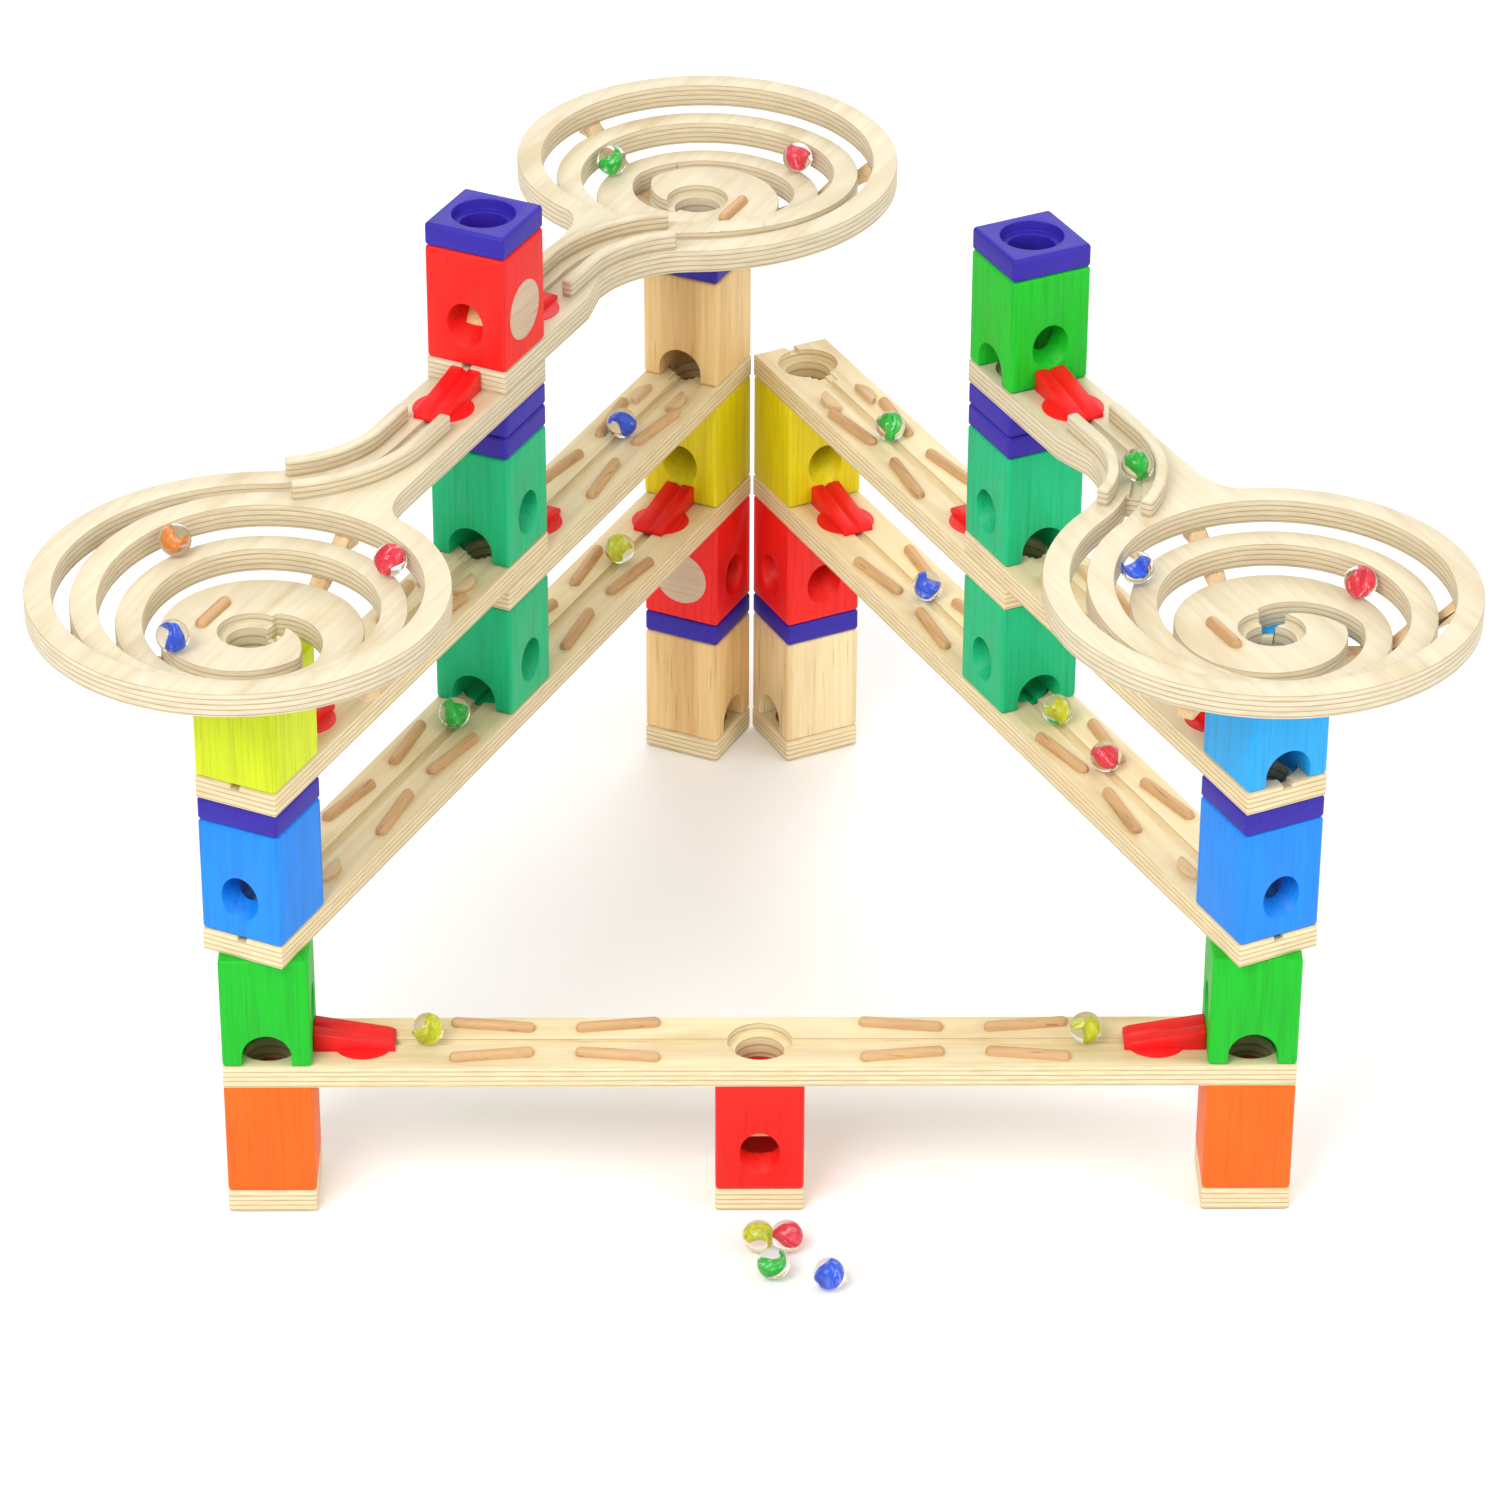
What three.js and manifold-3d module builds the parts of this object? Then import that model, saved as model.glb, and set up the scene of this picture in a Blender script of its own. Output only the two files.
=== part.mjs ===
// Wooden marble run: seven towers of bored blocks carry level rails and three descending spiral tracks.
// Glass marbles fall through the towers, roll along the grooves and circle down the spirals.
// Millimetres, +Z up. The origin is at the centre of the footprint, on the floor.
// The front rail runs along X.
import * as THREE from "three";
import { mergeVertices } from "three/addons/utils/BufferGeometryUtils.js";
import Module from "manifold-3d";

const wasm = await Module();
wasm.setup();

// ---- driving dimensions -------------------------------------------------------------------
const BLOCK_W = 44; // side of every square block, plate, rail and spiral arm
const BLOCK_H = 62; // height of a tower block
const BOARD_T = 12.4; // thickness of rails, spirals and plates
const SPACING = 242; // hole to hole along a rail
const ARM_ANGLE = THREE.MathUtils.degToRad(64); // side rails, measured from the front rail
const MARBLE_R = 8;

const CHAMFER = 2; // on blocks and coloured plates
const BORE_R = 12; // marble shaft through a tower
const SOCKET_R = 16; // recess on top of each piece
const SOCKET_DEPTH = 5.5;
const SPIGOT_R = 15; // ring below each piece, which drops into the socket of the piece under it
const SPIGOT_H = 5;
const GAP = 0.3; // clearance between stacked pieces and around moving ones
const ROUND = 10; // facets of a full circle

const ARCH_W = 24.5; // doorway at the foot of a block
const ARCH_H = 18;
const SIDE_HOLE_R = 10; // sloping exit in a block's side
const SIDE_HOLE_Z = 22; // height of its centre at the face
const SIDE_HOLE_SLOPE = THREE.MathUtils.degToRad(33);

const CHAMBER_R = 16; // round room of the switch blocks
const CHAMBER_Z = 26;
const CHAMBER_HALF = 10; // half its length along the pivot pin
const ROCKER_HALF = 8.5;
const ROCKER_REACH = 14;
const ROCKER_PLATE = 2.6;
const ROCKER_TILT = THREE.MathUtils.degToRad(24); // the rocker rests leaning this far to one side
const WING_DROP = THREE.MathUtils.degToRad(15);
const PIN_R = 2;
const PIN_HALF = 15;

const GROOVE_W = 5;
const GROOVE_DEPTH = 2.5;
const RAMP_LENGTH = 40; // accelerating wedge next to a tower
const RAMP_W = 17;
const RAMP_HIGH = 11;
const RAMP_LOW = 4;
const LUMP_LENGTH = 20; // half-moon lips where a marble runs into a tower
const LUMP_W = 6;
const LUMP_H = 3.5;
const LUMP_OFFSET = 8.5;
const GUIDE_LENGTH = 42; // glued half dowels beside the groove
const GUIDE_W = 6;
const GUIDE_H = 4;
const GUIDE_OFFSET = 13;
const GUIDE_SPLAY = THREE.MathUtils.degToRad(7);
const GUIDE_STATIONS = [110, 172]; // pair centres, measured from the end hole

const SPIRAL_R = 111.5; // outer radius where the slot begins
const SPIRAL_PITCH = 21; // the radius lost in each turn
const SPIRAL_BAND = 13; // width of the wooden band, so the slot is 8 wide
const SPIRAL_SLOT = SPIRAL_PITCH - SPIRAL_BAND;
const SPIRAL_START = THREE.MathUtils.degToRad(26); // direction of the slot's start from the hub
const SPIRAL_FALL = 2 * BOARD_T; // from the arm down to the hub
const SPIRAL_TURNS = 2.62; // the band joins the hub disc here
const SPIRAL_SLOPE = 0.42; // the part of a turn in which the band falls by one board
const BEND_R = 72; // the arm's curve into the slot
const FENCE_T = 6;
const FENCE_H = 9;
const FENCE_OFFSET = 8.7; // inner face, measured from the marble's path
const BRACKET_T = 9;
const BRACKET_H = 8;

// ---- colours ------------------------------------------------------------------------------
const COLOURS = {
  plywood: 0xead9b5,
  maple: 0xe0b07a,
  red: 0xe01b24,
  orange: 0xf57a1e,
  yellow: 0xe3df1e,
  green: 0x1fbf3a,
  teal: 0x28a878,
  blue: 0x2b8fe0,
  light_blue: 0x46bdf0,
  purple: 0x4a35c8,
};

function paint(colour, roughness = 0.55) {
  return new THREE.MeshStandardMaterial({ color: colour, roughness, metalness: 0 });
}

// ---- solids -------------------------------------------------------------------------------
function solid(geometry) {
  const bare = geometry.index ? geometry.toNonIndexed() : geometry.clone();
  bare.deleteAttribute("normal");
  bare.deleteAttribute("uv");
  const merged = mergeVertices(bare, 1e-4);
  return new wasm.Manifold(
    new wasm.Mesh({
      numProp: 3,
      vertProperties: new Float32Array(merged.attributes.position.array),
      triVerts: new Uint32Array(merged.index.array),
    }),
  );
}

function geometryOf(manifold) {
  const mesh = manifold.getMesh();
  const geometry = new THREE.BufferGeometry();
  geometry.setAttribute("position", new THREE.BufferAttribute(mesh.vertProperties, 3));
  geometry.setIndex(new THREE.BufferAttribute(mesh.triVerts, 1));
  return geometry;
}

function box(x0, x1, y0, y1, z0, z1) {
  const geometry = new THREE.BoxGeometry(x1 - x0, y1 - y0, z1 - z0);
  geometry.translate((x0 + x1) / 2, (y0 + y1) / 2, (z0 + z1) / 2);
  return solid(geometry);
}

function upright(radius, z0, z1, x = 0, y = 0, facets = ROUND) {
  const geometry = new THREE.CylinderGeometry(radius, radius, z1 - z0, facets);
  geometry.rotateX(Math.PI / 2);
  geometry.translate(x, y, (z0 + z1) / 2);
  return solid(geometry);
}

// A flat outline, given as points, raised from z0 to z1.
function slab(points, z0, z1) {
  const outline = new THREE.Shape(points.map(([x, y]) => new THREE.Vector2(x, y)));
  const geometry = new THREE.ExtrudeGeometry(outline, { depth: z1 - z0, bevelEnabled: false });
  geometry.translate(0, 0, z0);
  return solid(geometry);
}

// An outline in the X-Z plane, given as points, made as thick as y0 to y1.
function sideSlab(points, y0, y1) {
  const outline = new THREE.Shape(points.map(([x, z]) => new THREE.Vector2(x, z)));
  const geometry = new THREE.ExtrudeGeometry(outline, { depth: y1 - y0, bevelEnabled: false });
  geometry.rotateX(Math.PI / 2);
  geometry.translate(0, y1, 0);
  return solid(geometry);
}

function turned(manifold, angle) {
  return manifold.rotate([0, 0, THREE.MathUtils.radToDeg(angle)]);
}

function chamferedBlock(height) {
  const h = BLOCK_W / 2 - CHAMFER;
  const corners = [
    [h, -h],
    [h, h],
    [-h, h],
    [-h, -h],
  ];
  const outline = new THREE.Shape(corners.map(([x, y]) => new THREE.Vector2(x, y)));
  const geometry = new THREE.ExtrudeGeometry(outline, {
    depth: height - 2 * CHAMFER,
    bevelThickness: CHAMFER,
    bevelSize: CHAMFER,
    bevelSegments: 1,
  });
  geometry.translate(0, 0, CHAMFER);
  return solid(geometry);
}

// ---- stacking interfaces ------------------------------------------------------------------
function socketCut(top, x = 0, y = 0) {
  return upright(SOCKET_R, top - SOCKET_DEPTH, top + 1, x, y);
}

function spigot(bottom, x = 0, y = 0) {
  return upright(SPIGOT_R, bottom - SPIGOT_H, bottom + 1, x, y);
}

function boreCut(from, to, x = 0, y = 0) {
  return upright(BORE_R, from, to, x, y);
}

// ---- tower blocks -------------------------------------------------------------------------
// Each opening is { kind, facing }, where facing is the angle of the face that it goes out of.
const THROUGH = -SPIGOT_H - 1;

function archCut(facing) {
  const half = ARCH_W / 2;
  const crown = ARCH_H - half;
  const points = [
    [-half, THROUGH],
    [half, THROUGH],
  ];
  const steps = 6;
  for (let i = 0; i <= steps; i += 1) {
    const a = (i / steps) * Math.PI;
    points.push([half * Math.cos(a), crown + half * Math.sin(a)]);
  }
  return turned(sideSlab(points, -BLOCK_W / 2 - 1, 0), facing + Math.PI / 2);
}

function sideHoleCut(facing) {
  const length = 40;
  const geometry = new THREE.CylinderGeometry(SIDE_HOLE_R, SIDE_HOLE_R, length, ROUND);
  geometry.rotateZ(-Math.PI / 2);
  geometry.rotateY(SIDE_HOLE_SLOPE);
  const half = (length / 2) * Math.cos(SIDE_HOLE_SLOPE);
  const start = 2; // the tunnel begins just past the shaft's axis
  const x = start + half;
  const z = SIDE_HOLE_Z + (BLOCK_W / 2 - x) * Math.tan(SIDE_HOLE_SLOPE);
  geometry.translate(x, 0, z);
  return turned(solid(geometry), facing);
}

// With a bridge, the foot is shut and a groove across it carries marbles over the hole in the rail.
function block(openings, { bridge = false } = {}) {
  const arches = openings.filter((o) => o.kind === "arch");
  const holes = openings.filter((o) => o.kind === "hole");
  const blind = !arches.length && holes.length; // the shaft's floor throws marbles out sideways
  const floor = blind ? SIDE_HOLE_Z + 4 : THROUGH;
  let body = chamferedBlock(BLOCK_H).add(spigot(0));
  body = body.subtract(boreCut(floor, BLOCK_H + 1)).subtract(socketCut(BLOCK_H));
  for (const arch of arches) body = body.subtract(archCut(arch.facing));
  for (const hole of holes) body = body.subtract(sideHoleCut(hole.facing));
  if (bridge) {
    const g = GROOVE_W / 2;
    body = body.add(upright(SPIGOT_R, -SPIGOT_H, 0));
    body = body.subtract(box(-BLOCK_W, BLOCK_W, -g, g, -GROOVE_DEPTH, 1));
  }
  return body;
}

// A switch block: a round room crossed by the rocker's pin, with a sloping exit on either side of it.
function switchBlock(pinFacing) {
  const exits = [
    { kind: "hole", facing: pinFacing + Math.PI / 2 },
    { kind: "hole", facing: pinFacing - Math.PI / 2 },
  ];
  let body = chamferedBlock(BLOCK_H).add(spigot(0));
  body = body.subtract(boreCut(CHAMBER_Z, BLOCK_H + 1)).subtract(socketCut(BLOCK_H));
  body = body.subtract(turned(lying(CHAMBER_R, CHAMBER_HALF, CHAMBER_Z), pinFacing));
  body = body.subtract(turned(lying(PIN_R + GAP, PIN_HALF + GAP, CHAMBER_Z, 12), pinFacing));
  for (const exit of exits) body = body.subtract(sideHoleCut(exit.facing));
  return body;
}

// A cylinder lying along X, centred over the origin at height z.
function lying(radius, half, z, facets = ROUND) {
  const geometry = new THREE.CylinderGeometry(radius, radius, 2 * half, facets);
  geometry.rotateZ(Math.PI / 2);
  geometry.translate(0, 0, z);
  return solid(geometry);
}

// The rocker: a fin and two wings on a pin along X. Its own origin is on the pin.
function rocker() {
  const half = ROCKER_PLATE / 2;
  const blade = (angle) => {
    const geometry = new THREE.BoxGeometry(2 * ROCKER_HALF, ROCKER_REACH, ROCKER_PLATE);
    geometry.translate(0, ROCKER_REACH / 2, 0);
    geometry.rotateX(angle);
    return solid(geometry);
  };
  let body = lying(half + 2, ROCKER_HALF, 0, 12).add(lying(PIN_R, PIN_HALF, 0, 12));
  for (const angle of [Math.PI / 2, -WING_DROP, Math.PI + WING_DROP]) {
    body = body.add(blade(angle - ROCKER_TILT));
  }
  return body;
}

// ---- plates -------------------------------------------------------------------------------
function basePlate() {
  const h = BLOCK_W / 2;
  return box(-h, h, -h, h, 0, BOARD_T).subtract(socketCut(BOARD_T));
}

function spacer(layers) {
  const height = layers * BOARD_T;
  const core = BLOCK_W / 2 - 2 * CHAMFER;
  let body = box(-core, core, -core, core, 1, height - 1);
  for (let i = 0; i < layers; i += 1) {
    body = body.add(chamferedBlock(BOARD_T).translate([0, 0, i * BOARD_T]));
  }
  body = body.add(spigot(0)).subtract(boreCut(THROUGH, height + 1));
  return body.subtract(socketCut(height));
}

// ---- rails --------------------------------------------------------------------------------
// A wedge beside the tower at x = 0, falling along +X, with a V groove down its back.
function ramp() {
  const start = BLOCK_W / 2 + GAP;
  const end = start + RAMP_LENGTH;
  const half = RAMP_W / 2;
  const profile = [
    [start, -1],
    [end, -1],
    [end, RAMP_LOW - 1],
    [end - 2, RAMP_LOW],
    [start, RAMP_HIGH],
  ];
  const fall = (RAMP_HIGH - RAMP_LOW) / (RAMP_LENGTH - 2);
  const notch = new THREE.CylinderGeometry(4, 4, 2 * RAMP_LENGTH, 4);
  notch.rotateZ(-Math.PI / 2);
  notch.rotateY(Math.atan(fall));
  notch.translate((start + end) / 2, 0, (RAMP_HIGH + RAMP_LOW) / 2 + 2);
  return sideSlab(profile, -half, half).subtract(solid(notch));
}

// Two half-moon lips either side of the groove, beside the tower at x = 0.
function lumps() {
  const start = BLOCK_W / 2 + 16;
  const points = [];
  for (let i = 0; i <= 5; i += 1) {
    const a = (i / 5) * Math.PI;
    points.push([start + LUMP_LENGTH / 2 + (LUMP_LENGTH / 2) * Math.cos(a), LUMP_W * Math.sin(a)]);
  }
  const lip = (side) => {
    const placed = points.map(([x, y]) => [x, side * (y + LUMP_OFFSET)]);
    return slab(side > 0 ? placed : placed.reverse(), -1, LUMP_H);
  };
  return lip(1).add(lip(-1));
}

// Two pairs of half dowels on one half of a rail; the first pair closes in, the second opens out.
function guides() {
  let made = null;
  GUIDE_STATIONS.forEach((x, pair) => {
    for (const side of [1, -1]) {
      const w = GUIDE_W / 2;
      const profile = [
        [-w, -1],
        [w, -1],
        [w / 2, GUIDE_H],
        [-w / 2, GUIDE_H],
      ];
      const bar = turned(sideSlab(profile, -GUIDE_LENGTH / 2, GUIDE_LENGTH / 2), Math.PI / 2);
      const splay = side * (pair ? GUIDE_SPLAY : -GUIDE_SPLAY);
      const placed = turned(bar, splay).translate([x, side * GUIDE_OFFSET, 0]);
      made = made ? made.add(placed) : placed;
    }
  });
  return made;
}

// ends[i] says what stands on the board beside each end hole: "ramp" or "lumps".
function rail(holes, ends) {
  const length = (holes - 1) * SPACING;
  const h = BLOCK_W / 2;
  let board = box(-h, length + h, -h, h, 0, BOARD_T);
  const fittings = [];
  ends.forEach((end, i) => {
    const piece = end === "ramp" ? ramp() : lumps();
    const raised = piece.translate([0, 0, BOARD_T]);
    fittings.push(i ? turned(raised, Math.PI).translate([length, 0, 0]) : raised);
  });
  for (let half = 0; half < holes - 1; half += 1) {
    const from = half ? length : 0;
    const set = holes === 3 ? guides() : shortGuides();
    const raised = set.translate([0, 0, BOARD_T]);
    fittings.push(half ? turned(raised, Math.PI).translate([from, 0, 0]) : raised);
  }
  for (const fitting of fittings) board = board.add(fitting);
  const g = GROOVE_W / 2;
  const deep = BOARD_T - GROOVE_DEPTH;
  board = board.subtract(box(-h - 1, length + h + 1, -g, g, deep, BOARD_T + 2));
  for (let i = 0; i < holes; i += 1) {
    const x = i * SPACING;
    board = board.add(spigot(0, x)).subtract(boreCut(THROUGH, BOARD_T + 1, x));
    board = board.subtract(socketCut(BOARD_T, x));
  }
  return board;
}

// A short rail has the same two pairs, centred between its towers.
function shortGuides() {
  const middle = (GUIDE_STATIONS[0] + GUIDE_STATIONS[1]) / 2;
  return guides().translate([SPACING / 2 + 12 - middle, 0, 0]);
}

// ---- spirals ------------------------------------------------------------------------------
// Turns are counted along the slot from its start; the hub's axis is the origin and its underside z = 0.
const angleAt = (turns) => SPIRAL_START + turns * 2 * Math.PI;
const outerEdge = (turns) => SPIRAL_R - SPIRAL_PITCH * turns;
const slotCentre = (turns) => outerEdge(turns) - SPIRAL_BAND - SPIRAL_SLOT / 2;
const polar = (radius, angle) => [radius * Math.cos(angle), radius * Math.sin(angle)];

// Underside of the band: each turn lies one board below the last, with an easy slope between them.
function bandZ(turns) {
  const first = THREE.MathUtils.smoothstep(turns, 1, 1 + SPIRAL_SLOPE);
  const second = THREE.MathUtils.smoothstep(turns, 2, 2 + SPIRAL_SLOPE);
  return SPIRAL_FALL - BOARD_T * (first + second);
}

function spiralBand() {
  const steps = Math.round(SPIRAL_TURNS * 24);
  const vertices = [];
  const faces = [];
  for (let i = 0; i <= steps; i += 1) {
    const turns = (i / steps) * SPIRAL_TURNS;
    const [ox, oy] = polar(outerEdge(turns), angleAt(turns));
    const [ix, iy] = polar(outerEdge(turns) - SPIRAL_BAND, angleAt(turns));
    const z = bandZ(turns);
    vertices.push(ox, oy, z, ox, oy, z + BOARD_T, ix, iy, z + BOARD_T, ix, iy, z);
  }
  const quad = (a, b, c, d) => faces.push(a, b, c, a, c, d);
  for (let i = 0; i < steps; i += 1) {
    const near = 4 * i;
    const far = near + 4;
    for (let k = 0; k < 4; k += 1) {
      const next = (k + 1) % 4;
      quad(near + k, far + k, far + next, near + next);
    }
  }
  quad(0, 1, 2, 3);
  const last = 4 * steps;
  quad(last + 3, last + 2, last + 1, last);
  const geometry = new THREE.BufferGeometry();
  geometry.setAttribute("position", new THREE.Float32BufferAttribute(vertices, 3));
  geometry.setIndex(faces);
  return solid(geometry);
}

function hubDisc() {
  const points = [];
  const steps = 16;
  for (let i = 0; i <= steps; i += 1) {
    const turns = SPIRAL_TURNS + i / steps;
    points.push(polar(outerEdge(turns), angleAt(turns)));
  }
  return slab(points, 0, BOARD_T);
}

// The slot's last stretch opens into a teardrop and lets the marble fall into the hub's shaft.
function slotEnd() {
  const outer = [];
  const inner = [];
  const from = SPIRAL_TURNS - 0.08;
  const to = SPIRAL_TURNS + 0.28;
  const steps = 10;
  for (let i = 0; i <= steps; i += 1) {
    const turns = from + (i / steps) * (to - from);
    const k = Math.max(0, (turns - SPIRAL_TURNS) / (to - SPIRAL_TURNS));
    const centre = THREE.MathUtils.lerp(slotCentre(turns), BORE_R, k);
    const half = THREE.MathUtils.lerp(SPIRAL_SLOT / 2, 0.9 * MARBLE_R, Math.sqrt(k));
    outer.push(polar(centre + half, angleAt(turns)));
    inner.push(polar(centre - half, angleAt(turns)));
  }
  return slab([...outer, ...inner.reverse()], -1, BOARD_T + 1);
}

// The marble's way along the arm: straight, then a bend that runs into the slot's start.
function armPath(fromX, past = 0) {
  const [sx, sy] = polar(slotCentre(0), SPIRAL_START);
  const turn = Math.acos(1 - sy / BEND_R);
  const bendX = sx + BEND_R * Math.sin(turn);
  const path = [{ x: fromX, y: 0, heading: Math.PI }];
  const steps = 6;
  for (let i = 0; i <= steps; i += 1) {
    const b = (i / steps) * turn;
    path.push({
      x: bendX - BEND_R * Math.sin(b),
      y: BEND_R * (1 - Math.cos(b)),
      heading: Math.PI - b,
    });
  }
  const more = Math.round(past * 48);
  for (let i = 1; i <= more; i += 1) {
    const turns = i / 48;
    const [x, y] = polar(slotCentre(turns), angleAt(turns));
    path.push({ x, y, heading: angleAt(turns) + Math.PI / 2 });
  }
  return path;
}

// Points beside a path; a positive offset is to the right of the direction of travel.
function beside(path, offset) {
  return path.map(({ x, y, heading }) => [x + offset * Math.sin(heading), y - offset * Math.cos(heading)]);
}

function ribbon(path, from, to, z0, z1) {
  return slab([...beside(path, from), ...beside(path, to).reverse()], z0, z1);
}

function arm() {
  const h = BLOCK_W / 2;
  const end = SPACING + h;
  const foot = SPIRAL_FALL;
  const rimTurns = 0.86;
  const rim = polar(outerEdge(rimTurns), angleAt(rimTurns) - 2 * Math.PI);
  const fillet = new THREE.QuadraticBezierCurve(
    new THREE.Vector2(115, -h),
    new THREE.Vector2(89, -h),
    new THREE.Vector2(...rim),
  );
  const inner = [];
  for (let i = 0; i <= 6; i += 1) {
    const turns = THREE.MathUtils.lerp(rimTurns, 1.005, i / 6);
    inner.push(polar(outerEdge(turns) - SPIRAL_BAND, angleAt(turns)));
  }
  const outer = beside(armPath(150), SPIRAL_SLOT / 2 + SPIRAL_BAND);
  const points = [
    [end, h],
    [172, h],
    ...outer.slice(1),
    ...inner.reverse(),
    ...fillet.getPoints(6).map((p) => [p.x, p.y]).reverse(),
    [end, -h],
  ];
  return slab(points, foot, foot + BOARD_T);
}

function bracket(angle) {
  const radii = [];
  const start = ((angle - SPIRAL_START) / (2 * Math.PI) + 1) % 1;
  let turns = start;
  for (; turns < SPIRAL_TURNS; turns += 1) {
    const z = bandZ(turns) + 1;
    radii.push([outerEdge(turns) - 3, z], [outerEdge(turns) - SPIRAL_BAND + 1, z]);
  }
  const hub = outerEdge(turns);
  radii.push([hub - 1, 1], [hub - 5, 1]);
  const under = radii.filter((point, i) => i === 0 || i % 2 === 1).map(([r, z]) => [r, z - BRACKET_H]);
  under.reverse();
  return turned(sideSlab([...radii, ...under], -BRACKET_T / 2, BRACKET_T / 2), angle);
}

function spiral() {
  const top = SPIRAL_FALL + BOARD_T;
  let body = spiralBand().add(hubDisc()).add(arm());
  for (const side of [1, -1]) {
    const near = side * FENCE_OFFSET;
    const far = side * (FENCE_OFFSET + FENCE_T);
    const low = Math.min(near, far);
    const high = Math.max(near, far);
    body = body.add(ribbon(armPath(176).slice(0, -1), high, low, top - 1, top + FENCE_H));
  }
  const rest = new THREE.CylinderGeometry(3, 3, 28, 8);
  rest.rotateZ(Math.PI / 2);
  rest.translate(5, 23.5, BOARD_T);
  body = body.add(solid(rest));
  for (const degrees of [-4, 126, 246]) body = body.add(bracket(THREE.MathUtils.degToRad(degrees)));
  const wedge = turned(ramp(), Math.PI).translate([SPACING, 0, top]);
  body = body.add(wedge);
  const g = GROOVE_W / 2;
  const end = SPACING + BLOCK_W / 2 + 1;
  body = body.subtract(ribbon(armPath(end), g, -g, top - GROOVE_DEPTH, top + 2));
  const slotStart = armPath(150, 0.06).slice(-6);
  const s = SPIRAL_SLOT / 2;
  body = body.subtract(ribbon(slotStart, s, -s, SPIRAL_FALL - 1, top + 1));
  body = body.subtract(slotEnd());
  body = body.add(spigot(0)).subtract(boreCut(THROUGH, BOARD_T + 1)).subtract(socketCut(BOARD_T));
  body = body.add(spigot(SPIRAL_FALL, SPACING));
  body = body.subtract(boreCut(SPIRAL_FALL + THROUGH, top + 1, SPACING));
  return body.subtract(socketCut(top, SPACING));
}

// ---- marbles ------------------------------------------------------------------------------
const RAIL_LIFT = Math.sqrt(MARBLE_R ** 2 - (GROOVE_W / 2) ** 2) + GAP;
const SLOT_CLEARANCE = 1.2; // to the faceted outer band

function marble() {
  return solid(new THREE.SphereGeometry(MARBLE_R, 10, 6));
}

// Where a marble rests: on the lower inner band's edge, leaning on the higher outer band.
function slotSeat(turns) {
  const radius = slotCentre(turns) + SPIRAL_SLOT / 2 - MARBLE_R - SLOT_CLEARANCE;
  const [x, y] = polar(radius, angleAt(turns));
  return [x, y, bandZ(turns + 1) + BOARD_T + MARBLE_R + GAP];
}

// ---- assembly -----------------------------------------------------------------------------
const level = (boards, blocks) => boards * BOARD_T + blocks * BLOCK_H;
const group = new THREE.Group();
const world = new THREE.Group();
group.add(world);

// Local +X of a side frame runs from its front tower to its back tower.
function sideFrame(side) {
  const frame = new THREE.Group();
  frame.position.x = side * SPACING;
  frame.rotation.z = side < 0 ? ARM_ANGLE : Math.PI - ARM_ANGLE;
  world.add(frame);
  return frame;
}
const leftSide = sideFrame(-1);
const rightSide = sideFrame(1);

const made = new Map(); // shapes shared by identical pieces
function place(parent, name, colour, key, make, x, z, y = 0, turn = 0) {
  if (!made.has(key)) made.set(key, geometryOf(make()));
  const mesh = new THREE.Mesh(made.get(key), paint(COLOURS[colour]));
  mesh.name = name;
  mesh.position.set(x, y, z);
  mesh.rotation.z = turn;
  parent.add(mesh);
  return mesh;
}

const RIGHT = Math.PI / 2;
const FAR = 0;
const NEAR = Math.PI;
const hole = (facing) => ({ kind: "hole", facing });
const arch = (facing) => ({ kind: "arch", facing });

function addBlock(parent, name, colour, x, z, openings, options = {}) {
  const key = "block" + JSON.stringify([openings, options]);
  place(parent, name, colour, key, () => block(openings, options), x, z);
}

function addSwitch(parent, name, x, z, pinFacing) {
  place(parent, name + "_switch_block", "red", "switch" + pinFacing, () => switchBlock(pinFacing), x, z);
  place(parent, name + "_rocker", "maple", "rocker", rocker, x, z + CHAMBER_Z, 0, pinFacing);
}

function addPlate(parent, name, x, z, layers = 1) {
  place(parent, name, "purple", "spacer" + layers, () => spacer(layers), x, z);
}

// A spiral in a frame of its own, with marbles at the given turns.
function addSpiral(parent, name, x, z, turn, marbles) {
  const frame = new THREE.Group();
  frame.position.set(x, 0, z);
  frame.rotation.z = turn;
  parent.add(frame);
  place(frame, name, "plywood", "spiral", spiral, 0, 0);
  for (const [colour, turns] of marbles) {
    const [mx, my, mz] = slotSeat(turns);
    place(frame, name + "_" + colour + "_marble", colour, "marble", marble, mx, mz, my);
  }
}

function addRailMarble(parent, name, colour, x, railTop) {
  place(parent, name + "_" + colour + "_marble", colour, "marble", marble, x, railTop + RAIL_LIFT);
}

function addRail(parent, name, x, z, holes, ends) {
  const key = "rail" + holes + ends.join();
  place(parent, name, "plywood", key, () => rail(holes, ends), x, z);
}

// Front rail and the three blocks under it
for (const [name, x] of [
  ["front_left", -SPACING],
  ["front_centre", 0],
  ["front_right", SPACING],
]) {
  place(world, name + "_base_plate", "plywood", "base", basePlate, x, 0);
}
addBlock(world, "front_left_orange_block", "orange", -SPACING, level(1, 0), []);
addBlock(world, "front_right_orange_block", "orange", SPACING, level(1, 0), []);
addSwitch(world, "front_centre", 0, level(1, 0), 0);
addRail(world, "front_rail", -SPACING, level(1, 1), 3, ["ramp", "ramp"]);
addBlock(world, "front_left_green_block", "green", -SPACING, level(2, 1), [arch(-RIGHT), hole(FAR)]);
addBlock(world, "front_right_green_block", "green", SPACING, level(2, 1), [arch(-RIGHT), hole(NEAR)]);

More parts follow.
